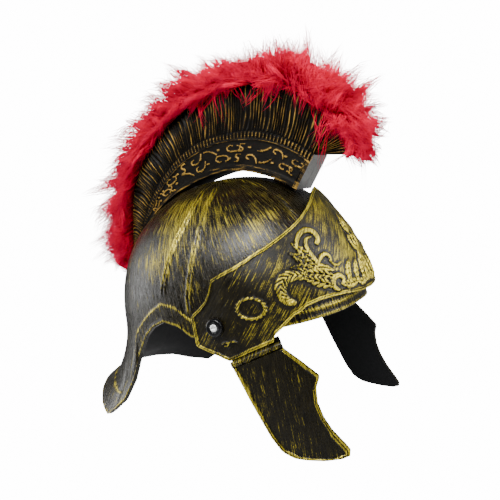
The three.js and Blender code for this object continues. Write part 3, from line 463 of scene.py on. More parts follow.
def placeBowl(across, down):
    crown = np.linspace(0, 1, bowl["crownRows"]) ** 0.9
    innerCrown = np.linspace(0, 1, bowl["innerCrownRows"])
    turns = np.linspace(-180, 180, bowl["columns"] + 1)
    # turns are packed closer round the ear arches and the neck's corners
    turns = np.sign(turns) * np.interp(np.abs(turns), [0, 60, 150, 180], [0, 82, 160, 180])
    outCount, shape = bowl["crownRows"] + len(bowl["edgeRows"]), (len(turns), bowlRows + 1)
    points, raised, deep, along = np.zeros((*shape, 3)), np.zeros(shape), np.zeros(shape), np.zeros(shape)
    raised[:, outCount:] = insideWear
    deep[:, outCount:] = 1
    for i, turn in enumerate(turns):
        sine, cosine = math.sin(math.radians(turn)), math.cos(math.radians(turn))
        r, z, normalR, normalZ, length, borderLength = bowlMeridian(turn, 0, crown, bowl["edgeRows"])
        innerR, innerZ, *_ = bowlMeridian(turn, bowl["wall"], innerCrown, bowl["innerEdgeRows"])
        lean, toSide = np.degrees(np.arctan2(r * cosine, z)), np.abs(r * sine)
        widening = (bowl["spineFrontHalf"] - bowl["spineHalf"]) * np.clip(lean / 50, 0, None) ** 1.2
        half = bowl["spineHalf"] + widening
        inSpan = smooth((bowl["spineFront"] - lean) / 3) * smooth((lean - bowl["spineRear"]) / 3)
        spine = smooth((half - toSide) / 1.6 + 0.5) * inSpan
        spineLine = softLine(half - 1.2 - toSide, 1.3) * inSpan * (lean > -60)
        level, ribs = z / bowl["height"], np.zeros(len(r))
        for table in ribTables:
            gap = np.abs(abs(turn) - column(table, level, 1)) * math.pi / 180 * r
            ends = smooth((level - table[0][0]) / 0.03) * smooth((table[-1][0] - level) / 0.03)
            ribs = np.maximum(ribs, smooth(1.15 - np.abs(gap - bowl["ribGap"]) / bowl["ribHalf"]) * ends)
        strip = smooth((length - borderLength) / 1.2)
        bead = smooth(1 - np.abs(length[-1] - length - 1.4) / 1.6)
        rise = spine * bowl["spineRise"] + ribs * bowl["ribRise"]
        rise = rise + strip * (0.55 + 0.45 * bead) * bowl["bandRise"]
        outR, outZ = r + normalR * rise, z + normalZ * rise
        outR = np.where(length > borderLength, np.minimum(outR, r + bowl["bandRise"]), outR)
        allR, allZ = np.concatenate([outR, innerR[::-1]]), np.concatenate([outZ, innerZ[::-1]])
        points[i] = np.column_stack([allR * sine, -allR * cosine, allZ + bowl["pivotLevel"]])
        stripLine = softLine(length - borderLength - 1.2, 1.6)
        # the spine strip under the crest takes less gold: partly its darker paint, partly painted shade from
        # the crest
        wear = ribs * bowlWear["ribs"] + spineLine * bowlWear["spineLine"] + spine * bowlWear["spine"]
        wear = wear + (stripLine + bead * strip) * bowlWear["border"] + bowlWear["field"]
        upper = smooth((z - 35) / 35) * smooth((112 - z) / 14)
        wear = wear + upper * (bowlWear["upper"] + bowlWear["aroundRibs"] * softLine(abs(turn) - 97, 20))
        worn = bowlWear["low"] * smooth((60 - z) / 60) + bowlWear["rear"] * smooth((abs(turn) - 112) / 25)
        raised[i, :outCount] = wear - worn * (1 - strip)
        along[i, :outCount] = length
    strokes = (turns * math.pi / 180 * 80)[across], along[across, down]
    return points[across, down], raised[across, down], strokes, deep[across, down]


bowlShell = gridPiece("bowlShell", bowl["columns"], bowlRows, placeBowl, [agedBowl, darkInside])
finishPiece(bowlShell, "shell", "antique_gold", "dome")

print("stage: brow plate")

brow = {
    "halfWidth": 100, "reach": 102, "rise": 96.5, "drop": 28.5, "tail": 22, "wall": 2.5, "piping": 3.2,
    "pipingRise": 0.9, "pivotSpot": (0, -25, -117), "columns": 520, "rows": 118, "innerRows": 11,
}
# height, half width and reach as shares, and the power of the section's curve
plateTable = [
    (-0.3, 0.995, 0.94, 2.15), (0, 1, 0.965, 2.15), (0.135, 1, 0.96, 2.15), (0.383, 0.985, 0.905, 2.1),
    (0.47, 0.95, 0.88, 2.05), (0.62, 0.895, 0.82, 2), (0.725, 0.81, 0.775, 2), (0.896, 0.62, 0.683, 2),
    (1.02, 0.45, 0.606, 2),
]
# turn from the side towards the front in degrees, lower and upper edge as shares
plateEdges = [
    (-10, -0.474, 0.098), (-9, -0.544, 0.124), (-6, -0.667, 0.166), (-3, -0.772, 0.218), (-1, -0.842, 0.28),
    (0, -0.895, 0.337), (1, -0.93, 0.39), (3, -1, 0.405), (7, -0.93, 0.43), (13.3, -0.807, 0.462),
    (20, -0.702, 0.505), (24.7, -0.632, 0.538), (25.6, -0.453, 0.544), (29.5, -0.302, 0.565),
    (36, -0.021, 0.608), (42.6, 0.043, 0.655), (49.8, 0.064, 0.71), (57.5, 0.067, 0.775),
    (65.8, 0.059, 0.85), (73.4, 0.046, 0.915), (80.7, 0.035, 0.963), (90, 0.03, 1),
]


def softColumn(table, place, key):
    # a column's mean over a short stretch, so that sections blend into each other
    return sum(column(table, place + step * 0.03, key) for step in range(-3, 4)) / 7


def platePoint(turn, height, proud):
    # a point of the brow plate on the wearer's left, from the side pivots; behind them it runs straight
    share = height / brow["rise"]
    half = softColumn(plateTable, share, 1) * brow["halfWidth"]
    reach = softColumn(plateTable, share, 2) * brow["reach"]
    shape = column(plateTable, share, 3)
    angle = np.radians(np.clip(turn, 0, 90))
    x = half * np.clip(np.cos(angle), 0, 1) ** (2 / shape)
    y = -reach * np.sin(angle) ** (2 / shape)
    normalX, normalY = (x / half) ** (shape - 1) / half, -((-y / reach) ** (shape - 1)) / reach
    flat = np.hypot(normalX, normalY)
    lean = smooth((share - 0.1) / 0.9) * 0.6
    scale = np.sqrt(1 + lean ** 2)
    behind = turn < 0
    y = np.where(behind, -turn / 10 * brow["tail"], y)
    x = x + np.where(behind, 1, normalX / flat / scale) * proud
    y = y + np.where(behind, 0, normalY / flat / scale) * proud
    z = height + np.where(behind, 0, lean / scale) * proud
    return np.stack([x, y, z], axis=-1)


arcTurns = np.linspace(0, 90, 181)
arcSpots = platePoint(arcTurns, np.full(181, brow["rise"] * 0.2), np.zeros(181))
arcLengths = np.concatenate([[0], np.cumsum(np.linalg.norm(np.diff(arcSpots, axis=0), axis=1))])
plateLength = float(arcLengths[-1])


def strokeField(ahead, level, path, widths, height, ridge=0.0, pitch=0.0, teeth=0.0):
    # a rounded raised stroke along a path: ridge cuts a vein down its middle, pitch oblique veins
    # across it, and teeth scallop its edge
    path, margin = np.asarray(path, float), 12
    steps, knots = np.linspace(0, len(path) - 1, (len(path) - 1) * 5 + 1), np.arange(len(path))
    fine = np.column_stack([np.interp(steps, knots, path[:, 0]), np.interp(steps, knots, path[:, 1])])
    for _ in range(3):
        fine[1:-1] = (fine[:-2] + 2 * fine[1:-1] + fine[2:]) / 4
    lengths = np.concatenate([[0], np.cumsum(np.hypot(*np.diff(fine, axis=0).T))])
    sizes = np.interp(lengths / lengths[-1], np.linspace(0, 1, len(widths)), widths)
    lowest, highest = fine.min(axis=0) - margin, fine.max(axis=0) + margin
    near = (ahead > lowest[0]) & (ahead < highest[0]) & (level > lowest[1]) & (level < highest[1])
    result = np.zeros(ahead.shape)
    px, py = ahead[near], level[near]
    if px.size == 0:
        return result
    best, bestAlong, bestWidth = np.full(px.shape, 1e9), np.zeros(px.shape), np.ones(px.shape)
    for i in range(len(fine) - 1):
        ax, ay = fine[i]
        dx, dy = fine[i + 1] - fine[i]
        size = dx * dx + dy * dy + 1e-12
        share = np.clip(((px - ax) * dx + (py - ay) * dy) / size, 0, 1)
        gap = np.hypot(px - ax - share * dx, py - ay - share * dy)
        closer = gap < best
        best = np.where(closer, gap, best)
        bestAlong = np.where(closer, lengths[i] + share * math.sqrt(size), bestAlong)
        bestWidth = np.where(closer, sizes[i] + (sizes[i + 1] - sizes[i]) * share, bestWidth)
    if teeth:
        bestWidth = bestWidth * (0.74 + 0.26 * np.abs(np.sin(bestAlong / teeth * math.pi + best * 0.25)))
    share = np.clip(best / np.maximum(bestWidth, 0.01), 0, 1)
    form = np.sqrt(np.clip(1 - share ** 2.4, 0, 1))
    if ridge:
        form = form * (1 - ridge * softLine(best, 0.55))
    if pitch:
        wave = np.sin((bestAlong + best * 1.3) / pitch * 2 * math.pi)
        form = form * (0.55 + 0.45 * smooth(wave * 0.8 + 0.6))
    result[near] = form * height
    return result


# cast ornament of one side: the path forward of the pivot and up from it, half widths from end to end,
# the height, and how its surface is cut
plateStrokes = [
    ([(64, 9), (59, 11), (56.5, 16), (57, 23), (61.5, 28.5), (69, 30), (77, 27.5)],
     (2.6, 4.2, 4.9, 5, 4.6, 3.6), 1.5, {"pitch": 4.2}),
    ([(79, 25.5), (86, 22), (94, 18), (104, 13.5)],
     (2.4, 5.2, 4.6, 0.6), 1.7, {"ridge": 0.6, "pitch": 5, "teeth": 5.5}),
    ([(80, 29), (88, 27.5), (97, 25), (107, 20)],
     (2.4, 4.8, 4.6, 0.6), 1.6, {"ridge": 0.6, "pitch": 5, "teeth": 5.5}),
    ([(90, 31), (96, 31), (102, 28.5), (107, 26)], (2, 3.4, 3, 0.6), 1.6, {"ridge": 0.5, "teeth": 5}),
    ([(90, 29.5), (83, 33), (76, 35), (69.5, 35.5)],
     (2, 4.2, 3.8, 0.5), 1.5, {"ridge": 0.6, "pitch": 5, "teeth": 5}),
    ([(91, 31), (84, 37), (78.5, 42), (72, 47)],
     (2.2, 4.8, 4.2, 0.5), 1.7, {"ridge": 0.6, "pitch": 5, "teeth": 5}),
    ([(92, 33), (87, 41), (82, 48), (76.5, 54)],
     (2.2, 4.4, 3.8, 0.5), 1.6, {"ridge": 0.6, "pitch": 5, "teeth": 5}),
    ([(80, 49), (82, 55), (88, 60.5), (96, 62), (103, 58.5), (104, 52.5), (100.5, 50)],
     (1, 2, 2.4, 2.6, 2.6, 2.8, 2.2), 1.6, {"ridge": 0.25}),
    ([(94, 34), (90, 43), (88.5, 50), (91.5, 55), (97, 55.5)],
     (2.2, 2.4, 2, 1.5, 0.8), 1.5, {"ridge": 0.3}),
    ([(95, 35), (99, 39), (104, 40.5), (108, 38), (107.5, 34.5)], (1.4, 2.2, 2, 1.8, 1.8), 1.5, {}),
    ([(107, 34), (110, 30), (115, 29), (119, 31)], (0.8, 0.9, 0.9, 0.6), 0.9, {}),
    ([(106, 10), (102, 12.5), (101.5, 17), (105, 21), (111, 21.5), (115, 18), (112.5, 14.5)],
     (1.2, 2.2, 2.6, 2.6, 2.4, 2, 1.4), 1.6, {"ridge": 0.3}),
    ([(112, 14), (119, 12), (126, 12.5), (134, 12)],
     (2, 4.4, 4.2, 1), 1.5, {"ridge": 0.5, "pitch": 4, "teeth": 5}),
    ([(122, 14), (123, 20), (126, 26), (131, 30.5)],
     (2.6, 4, 3.4, 0.8), 1.6, {"ridge": 0.5, "pitch": 4, "teeth": 5}),
    ([(133, 13), (135, 19), (138.5, 25), (143, 29)],
     (2.6, 3.8, 3.4, 0.8), 1.5, {"ridge": 0.5, "pitch": 4, "teeth": 5}),
    ([(133, 12), (141, 10), (148, 11.5), (155, 12)],
     (1.4, 4, 3.8, 2.6), 1.5, {"ridge": 0.4, "pitch": 4, "teeth": 5}),
    ([(146, 14), (147.5, 21), (150, 27), (153.5, 32)], (2.4, 3.4, 3, 1.4), 1.5, {"ridge": 0.4, "pitch": 4}),
    ([(156, 12), (156, 24), (156, 36), (156, 46), (156, 54), (156, 67)],
     (4.4, 3.4, 4, 2, 3, 0.8), 1.6, {"ridge": 0.2, "pitch": 6}),
    ([(156, 36), (150, 39), (147, 44.5), (149, 49), (152.5, 48)], (1.4, 2, 2, 1.6, 1.2), 1.5, {}),
    ([(156, 52), (151.5, 55), (149.5, 60), (152, 63.5)], (1.2, 1.6, 1.5, 0.8), 1.4, {}),
    ([(2, -14.5), (5.5, -13), (8.5, -14.5), (6.5, -16.5), (4, -16)], (0.7, 1.1, 1.1, 1, 0.6), 1, {}),
    ([(8.5, -14), (12, -12.8), (15, -14)], (0.8, 1.2, 0.5), 1, {}),
]
wreath = {"middle": (31, 10.5), "radii": (10.4, 7.8), "tilt": -8, "leaves": 19, "height": 1.5}


def wreathField(ahead, level):
    tilt = math.radians(wreath["tilt"])
    dx, dy = ahead - wreath["middle"][0], level - wreath["middle"][1]
    px = (dx * math.cos(tilt) + dy * math.sin(tilt)) / wreath["radii"][0]
    py = (-dx * math.sin(tilt) + dy * math.cos(tilt)) / wreath["radii"][1]
    angle, reach = np.arctan2(py, px), np.hypot(px, py)
    gap = (reach - 1) * 9
    leaf = np.abs(np.sin(angle * wreath["leaves"] / 2 + gap * 0.45))
    outer = 1.1 + 1.2 * leaf
    form = np.sqrt(np.clip(1 - (gap / np.where(gap > 0, outer, 1.2)) ** 2, 0, 1))
    return form * (0.62 + 0.38 * leaf) * wreath["height"]


def nearMean(field, reach):
    # each value's mean over its neighbours on the grid
    for axis in (0, 1):
        pad = [(0, 0), (0, 0)]
        pad[axis] = (reach + 1, reach)
        sums = np.cumsum(np.pad(field, pad, mode="edge"), axis=axis)
        size, total = 2 * reach + 1, sums.shape[axis]
        field = (np.take(sums, range(size, total), axis) - np.take(sums, range(total - size), axis)) / size
    return field


def plateRelief(ahead, level):
    field = wreathField(ahead, level)
    for path, widths, height, cuts in plateStrokes:
        field = np.maximum(field, strokeField(ahead, level, path, widths, height, **cuts))
    return field


def placeBrow(across, down):
    halfCount = brow["columns"] // 2
    shares = np.abs(np.arange(brow["columns"] + 1) - halfCount) / halfCount
    ahead = plateLength - shares * (plateLength + brow["tail"])  # below zero behind the pivot
    side = np.where(np.arange(brow["columns"] + 1) >= halfCount, 1.0, -1.0)
    turn = np.where(ahead > 0, np.interp(ahead, arcLengths, arcTurns), ahead / brow["tail"] * 10)
    low, high = column(plateEdges, turn, 1), column(plateEdges, turn, 2)
    low = low * np.where(low < 0, brow["drop"], brow["rise"])
    high = high * brow["rise"]
    outRows, inRows = brow["rows"], brow["innerRows"]
    rows = np.concatenate([np.linspace(0, 1, outRows), np.linspace(1, 0, inRows), [0]])
    inner = np.concatenate([np.zeros(outRows), np.ones(inRows), [0]])[None, :] * np.ones((len(ahead), 1))
    onGrid = [value[:, None] * np.ones(len(rows)) for value in (low, high, turn, ahead, side)]
    low, high, turn, ahead, side = onGrid
    height = high + (low - high) * rows[None, :]
    fromEdge = np.minimum(np.minimum(high - height, height - low), ahead + brow["tail"])
    _, pipeForm, pipeWear = edgePiping(fromEdge, brow["piping"])
    crease, onField = softLine(fromEdge - brow["piping"] + 0.2, 0.35) * 0.35, fromEdge > brow["piping"]
    relief = plateRelief(ahead, height) * onField * (inner < 1)
    pit = np.clip(nearMean(relief, 4) - relief, 0, 1)
    rise = pipeForm * brow["pipingRise"] - crease + relief - pit * 0.4
    proud = np.where(inner > 0, -brow["wall"], rise)
    spots = platePoint(turn, height, proud)
    spots[..., 0] *= side
    spots += np.array(brow["pivotSpot"])
    nearRelief = smooth((ahead - 42) / 30) * smooth((70 - height) / 35)
    wear = pipeWear + smooth(relief / 0.9 - 0.25) * 0.85 + nearRelief * 0.3 - crease - pit * 4.5
    wear = wear - 0.3 * smooth((40 - ahead) / 40) + 0.25 * smooth((ahead - 95) / 40) * onField
    wear = np.where(inner > 0, insideWear, wear)
    strokes = (ahead * side)[across, down], height[across, down]
    return spots[across, down], wear[across, down], strokes, inner[across, down]


browPlate = gridPiece("browPlate", brow["columns"], brow["rows"] + brow["innerRows"], placeBrow,
                      [agedBrow, darkInside], closeEnds=True)

print("stage: hinges and cheek guards")

# the backing strip and the leaves: lowest and highest y and z in the hinge's own frame
hinge = {
    "length": 43.4, "slope": 14.4, "toeIn": 16, "ahead": 8, "turn": 3, "drop": 31.5, "proud": 2,
    "knuckle": 2.7, "pin": 1.2, "barrelStart": 0.23, "knuckleEnd": 0.21, "webRise": 5,
    "backing": (-5.2, 0.6, -3.3, 6.5), "leaves": ((-4.8, -8, 0.8, -4), (-4.8, -8, -3.3, -1)),
}
guard = {
    "length": 97.8, "reach": 60, "bow": 3, "wall": 2.5, "piping": 3.0, "pipingRise": 0.9, "hang": 1.086,
    "tab": 0.07, "columns": 60, "rows": 96, "innerColumns": 7,
}
# level below the hinge, back and front edge, all as shares
guardTable = [
    (0.0285, 0, 0.73), (0.07, 0.006, 0.765), (0.17, 0.018, 0.86), (0.335, 0.035, 1), (0.36, 0.04, 0.985),
    (0.42, 0.05, 0.9), (0.53, 0.068, 0.84), (0.65, 0.09, 0.835), (0.765, 0.14, 0.865), (0.8, 0.17, 0.885),
    (0.865, 0.27, 0.92), (0.905, 0.39, 0.945), (0.965, 0.62, 0.972), (1, 0.83, 0.94),
]

slope, toeIn = math.radians(hinge["slope"]), math.radians(hinge["toeIn"])
along = Vector((-math.sin(toeIn) * math.cos(slope), -math.cos(toeIn) * math.cos(slope), math.sin(slope)))
hingeUp = (Vector((0, 0, 1)) - along * along.z).normalized()
hingeOut = hingeUp.cross(along)
seat = platePoint(np.array([hinge["turn"]]), np.array([-brow["drop"]]), np.array([hinge["proud"]]))[0]
hingeSpot = Vector((seat[0], -hinge["ahead"] + brow["pivotSpot"][1], -hinge["drop"] + brow["pivotSpot"][2]))
hingeFrame = Matrix((along, hingeOut, hingeUp)).transposed().to_4x4()
hingeFrame.translation = hingeSpot * mm
guardFrame = hingeFrame @ Matrix.Rotation(math.radians(guard["hang"]), 4, "X")


def softenEdges(piece, width):
    pickOnly(piece)
    bpy.ops.object.modifier_add(type="BEVEL")
    piece.modifiers[-1].width = width * mm
    piece.modifiers[-1].segments = 3
    bpy.ops.object.modifier_apply(modifier=piece.modifiers[-1].name)
    bpy.ops.object.shade_smooth_by_angle(angle=math.radians(35))


def dressUp(name, bevel, place, materials):
    # the new primitive gets its name, soft edges, place, materials and what the dry brush reads
    piece = bpy.context.object
    piece.name = name
    bpy.ops.object.transform_apply(location=True, rotation=True, scale=True)
    softenEdges(piece, bevel)
    piece.data.transform(place)
    for material in materials:
        piece.data.materials.append(material)
    spots = pointsOf(piece.data) / mm
    addBrushValues(piece.data, np.full(len(spots), 0.2), spots[:, 1], spots[:, 2] + spots[:, 0])
    return piece


def straightBar(name, start, end, radius, place, materials, sides=32, bevel=0.25):
    # a round bar along the x axis of a frame
    clearSelection()
    bpy.ops.mesh.primitive_cylinder_add(vertices=sides, radius=radius * mm, depth=(end - start) * mm,
                                        location=((start + end) / 2 * mm, 0, 0), rotation=(0, math.pi / 2, 0))
    return dressUp(name, bevel, place, materials)


def blockPiece(name, low, high, place, materials, bevel=0.3):
    clearSelection()
    middle = [(a + b) / 2 * mm for a, b in zip(low, high)]
    bpy.ops.mesh.primitive_cube_add(size=1, location=middle, scale=[(b - a) * mm for a, b in zip(low, high)])
    return dressUp(name, bevel, place, materials)


hingeLength, knuckleRadius = hinge["length"], hinge["knuckle"]
barrelStart, barrelEnd = hingeLength * hinge["barrelStart"], hingeLength * (1 - hinge["barrelStart"])
barrel = straightBar("browKnuckle", barrelStart, barrelEnd, knuckleRadius, hingeFrame, [agedBrow])
web = blockPiece("browHingeWeb", (barrelStart, -knuckleRadius - 0.8, 0), (barrelEnd, 0, hinge["webRise"]),
                 hingeFrame, [agedBrow])
lowY, lowZ, highY, highZ = hinge["backing"]
backing = blockPiece("browHingeBacking", (0.4, lowY, lowZ), (hingeLength - 0.4, highY, highZ), hingeFrame,
                     [darkInside])
leftHinge = joinAll([barrel, web, backing])
rightHinge = copyMirrored(leftHinge, "browHingeRight")
browPlate = joinAll([browPlate, leftHinge, rightHinge])
browPlate.name = "browPlate"
finishPiece(browPlate, "brow", "antique_gold", "visor")


def placeGuard(across, down):
    outCount, inCount = guard["columns"] + 1, guard["innerColumns"]
    shares = np.concatenate([np.linspace(0, 1, outCount), np.linspace(1, 0, inCount), [0]])
    isInner = np.concatenate([np.zeros(outCount), np.ones(inCount), [0]])
    share, inner = shares[across], isInner[across]
    levels = np.linspace(guardTable[0][0], 1, guard["rows"] + 1)[down]
    backEdge, frontEdge = column(guardTable, levels, 1), column(guardTable, levels, 2)
    ahead = (backEdge + (frontEdge - backEdge) * share) * guard["reach"]
    z = -levels * guard["length"]
    fromSide = np.minimum(ahead - backEdge * guard["reach"], frontEdge * guard["reach"] - ahead)
    steep = 1 - 0.35 * smooth((levels - 0.76) / 0.05)
    fromSide = np.minimum(fromSide * steep, (1 - levels) * guard["length"] + 0.6)
    pipe, pipeForm, pipeWear = edgePiping(fromSide, guard["piping"])
    bow = guard["bow"] * (1 - (2 * ahead / guard["reach"] - 1) ** 2)
    y = bow + np.where(inner > 0, -guard["wall"], pipeForm * guard["pipingRise"])
    field = 0.4 * smooth((ahead - backEdge * guard["reach"] - 8) / 25) * (1 - pipe)
    wear = np.where(inner > 0, insideWear, pipeWear - field)
    local = np.column_stack([ahead, y, z, np.full(len(ahead), 1 / mm)]) * mm
    world = local @ np.array(guardFrame).T
    return world[:, :3] / mm, wear, (ahead, z), inner


guardColumns = guard["columns"] + guard["innerColumns"] + 1
leftGuard = gridPiece("cheekGuardLeft", guardColumns, guard["rows"], placeGuard, [agedGuard, darkInside],
                      closeEnds=True)
knuckles = []
knuckleEnd = hingeLength * hinge["knuckleEnd"]
leafEnd = hingeLength * (1 - hinge["knuckleEnd"])
for start, end in ((0, knuckleEnd), (leafEnd, hingeLength)):
    knuckles.append(straightBar("guardKnuckle", start, end, knuckleRadius, guardFrame, [agedGuard]))
    knuckles.append(blockPiece("guardTab", (start, -knuckleRadius * 0.9, -guard["tab"] * guard["length"]),
                               (end, 0, 0), guardFrame, [agedGuard]))
for lowY, lowZ, highY, highZ in hinge["leaves"]:
    knuckles.append(blockPiece("guardLeaf", (knuckleEnd, lowY, lowZ), (leafEnd, highY, highZ), guardFrame,
                               [darkInside]))
leftGuard = joinAll([leftGuard, *knuckles])
leftGuard.name = "cheekGuardLeft"
rightGuard = copyMirrored(leftGuard, "cheekGuardRight")
finishPiece(leftGuard, "cheek_left", "antique_gold", "cheek_guard_left")
finishPiece(rightGuard, "cheek_right", "antique_gold", "cheek_guard_right")

print("stage: pivots and pins")

pivot = {
    "capRadius": 7.2, "capDepth": 5, "capBevel": 1.3, "seatDepth": 2.2, "screwRadius": 1.9, "headRadius": 3.0,
    "slotHalf": 1.9, "slotWidth": 0.8, "slotFloor": 1.2, "gap": 0.3, "nutRadius": 4.4, "nutDepth": 3,
}
capBack = brow["halfWidth"] + pivot["gap"]
capFace = capBack + pivot["capDepth"]
seatFloor = capFace - pivot["seatDepth"]
still = Matrix.Identity(4)
pivotFrame = Matrix.Translation(Vector(brow["pivotSpot"]) * mm)


def cutBy(piece, tool):
    pickOnly(piece)
    bpy.ops.object.modifier_add(type="BOOLEAN")
    piece.modifiers[-1].operation = "DIFFERENCE"
    piece.modifiers[-1].solver = "EXACT"
    piece.modifiers[-1].object = tool
    bpy.ops.object.modifier_apply(modifier=piece.modifiers[-1].name)
    bpy.data.objects.remove(tool, do_unlink=True)


def makeCap():
    gap, past = pivot["gap"], 2  # a cutter runs this far past the cap
    cap = straightBar("pivotCapLeft", capBack, capFace, pivot["capRadius"], still, [capPlastic], 64,
                      pivot["capBevel"])
    for name, start, radius, sides in (("capSeat", seatFloor, pivot["headRadius"], 48),
                                       ("capBore", capBack - past, pivot["screwRadius"], 32)):
        cutBy(cap, straightBar(name, start, capFace + past, radius + gap, still, [], sides, 0.05))
    cap.data.transform(pivotFrame)
    return cap


def makeScrew():
    seatAt, half, slot = seatFloor + pivot["gap"], pivot["slotHalf"], pivot["slotWidth"] / 2
    slotFloor, headFace = seatAt + pivot["slotFloor"], seatAt + pivot["seatDepth"]
    head = straightBar("pivotScrewLeft", seatAt, headFace, pivot["headRadius"], still, [zincSteel], 48, 0.7)
    for y, z in ((half, slot), (slot, half)):
        cutBy(head, blockPiece("screwSlot", (slotFloor, -y, -z), (seatAt + 3.5, y, z), still, [], 0.05))
    nutEnd = bowl["halfWidth"] * 0.985 - bowl["wall"] - pivot["gap"] - 0.8
    nutStart = nutEnd - pivot["nutDepth"]
    shaft = straightBar("screwShaft", nutStart - 1, seatAt + 0.1, pivot["screwRadius"], still, [zincSteel],
                        24, 0.2)
    nut = straightBar("screwNut", nutStart, nutEnd, pivot["nutRadius"], still, [zincSteel], 6, 0.3)
    screw = joinAll([head, shaft, nut])
    screw.data.transform(pivotFrame)
    return screw


capLeft, screwLeft = makeCap(), makeScrew()
pinLeft = straightBar("hingePinLeft", 0.2, hingeLength - 0.2, hinge["pin"], hingeFrame, [agedBrow], 24, 0.2)
for piece, mirrorName, body, slotName, node in (
        (capLeft, "pivotCapRight", "shell", "black_plastic", "pivot_cap"),
        (screwLeft, "pivotScrewRight", "shell", "steel", "pivot_screw"),
        (pinLeft, "hingePinRight", "brow", "steel", "hinge_pin")):
    other = copyMirrored(piece, mirrorName)
    finishPiece(piece, body, slotName, node + "_left")
    finishPiece(other, body, slotName, node + "_right")

print("stage: crest")

crest = {
    "height": 84.5, "half": 18, "seam": 0.15, "frontLean": 39.5, "rearLean": -73, "fanTurn": 62,
    "flutes": 112, "fanFlutes": 10, "fluteDepth": 1.0, "ticks": 86, "borderShare": 0.19,
    "reliefHeight": 0.85, "bandMiddle": 20,
    "columns": 1080, "faceRows": 24, "bandColumns": 620, "bandRows": 44, "feetLeans": (31, -24, -67),
}
# lean from upright in degrees, foot, band, groove and top, the plume's foot, and width, as shares
crestTable = [
    (39.5, 0.06, 0.37, 0.46, 0.83, 0.93, 1), (32, 0.06, 0.4, 0.48, 0.945, 0.96, 1),
    (24, 0.062, 0.415, 0.5, 1, 1, 1), (18, 0.071, 0.415, 0.503, 0.988, 0.99, 1),
    (11, 0.083, 0.41, 0.493, 0.97, 0.965, 1), (4, 0.083, 0.402, 0.473, 0.917, 0.94, 1),
    (-4, 0.065, 0.357, 0.455, 0.864, 0.915, 1), (-12.5, 0.042, 0.305, 0.384, 0.766, 0.867, 1),
    (-21, 0.038, 0.235, 0.304, 0.659, 0.795, 0.98), (-29, 0.042, 0.166, 0.234, 0.56, 0.715, 0.95),
    (-37, 0.049, 0.107, 0.167, 0.44, 0.63, 0.9), (-46, 0.062, 0.085, 0.115, 0.28, 0.575, 0.83),
    (-55, 0.075, 0.09, 0.105, 0.175, 0.54, 0.75), (-64, 0.085, 0.1, 0.115, 0.17, 0.4, 0.66),
    (-73, 0.09, 0.105, 0.12, 0.17, 0.19, 0.55),
]
crestTable.reverse()
# turn past the front end in degrees, heights of the flutes and of the plume
fanTable = [(16, 0.39, 0.5), (32, 0.4, 0.48), (48, 0.385, 0.44), (62, 0.35, 0.37)]


def spineReach(lean):
    ahead, overhead = np.sin(np.radians(lean)), np.cos(np.radians(lean))
    reach = np.where(ahead > 0, bowl["front"], bowl["back"])
    power = bowl["risePower"]
    return ((np.abs(ahead) / reach) ** power + (overhead / bowl["height"]) ** power) ** (-1 / power)


def middlePoint(lean, distance):
    return -distance * np.sin(np.radians(lean)), distance * np.cos(np.radians(lean)) + bowl["pivotLevel"]


def crestLine(key, lean):
    return column(crestTable, lean, key) * crest["height"]


frontLean, rearLean, seam = crest["frontLean"], crest["rearLean"], crest["seam"]
fanCorner = middlePoint(frontLean, spineReach(frontLean) + crestLine(3, frontLean))
crestLeans = np.linspace(frontLean, rearLean, crest["bandColumns"] + 1)
bandSteps = np.radians(np.abs(np.diff(crestLeans))) * (spineReach(crestLeans[1:]) + crest["bandMiddle"])
bandRun = np.concatenate([[0], np.cumsum(bandSteps)])
bandTall = crestLine(2, crestLeans) - crestLine(1, crestLeans)


def placeBand(across, down):
    # the section from its foot up: border strip, sunk field with relief, step, tick band
    lean, run, faceRows, border = crestLeans[across], bandRun[across], crest["bandRows"], crest["borderShare"]
    half = column(crestTable, lean, 6) * crest["half"]
    foot, band, groove = (crestLine(key, lean) for key in (1, 2, 3))
    tall = band - foot
    face = np.linspace(0, 1, faceRows)[np.clip(down - 2, 0, faceRows - 1)]
    rise = foot + (groove - foot) * face
    up = (rise - foot) / tall
    strip = smooth((border - up) / 0.03)
    tick = smooth((rise - band - 0.3) / 0.6)
    wave = 0.5 + 0.5 * np.cos(run / bandRun[-1] * crest["ticks"] * 2 * math.pi)
    grooveIn = softLine(groove - rise, 0.9)
    endFrame = smooth((5.2 - run) / 0.7) * (1 - 0.6 * softLine(run - 3.6, 0.5))
    lip = softLine(band - rise - 0.6, 0.7) * smooth(tall / 8)
    relief = bandRelief(run, up, tall) * (1 - strip) * smooth((band - rise - 1.2) / 0.8) * (1 - endFrame)
    field = half - 1 + np.maximum(np.maximum(strip, lip * 0.9), endFrame) + relief
    tickSurface = half - 1.7 + 1.3 * smooth(wave * 1.5) - grooveIn * 1.4
    x = field + (tickSurface - field) * tick
    rimLine = softLine(rise - foot - 0.6, 0.7) + softLine(up - border, 0.03)
    wear = smooth(relief / 0.5) * 2.2 - 0.9 + lip * 1.6 + strip * 0.75 + rimLine * 0.7 + endFrame * 1.1
    wear = wear * (1 - tick) + tick * (wave ** 2 * 1.7 - 0.9 - grooveIn * 0.9)
    # the rows before and after the face close the section along the seam
    before, after = down < 2, down >= faceRows + 2
    x = np.where(before, np.where(down == 0, seam, half * 0.55), np.where(after, seam, x))
    rise = np.where(before | (down == faceRows + 3), foot, np.where(after, groove, rise))
    y, z = middlePoint(lean, spineReach(lean) + rise)
    wear = np.where(before | after, -1.0, wear)
    return np.column_stack([x, y, z]), wear, (rise * 1.3, run), np.zeros(len(run))


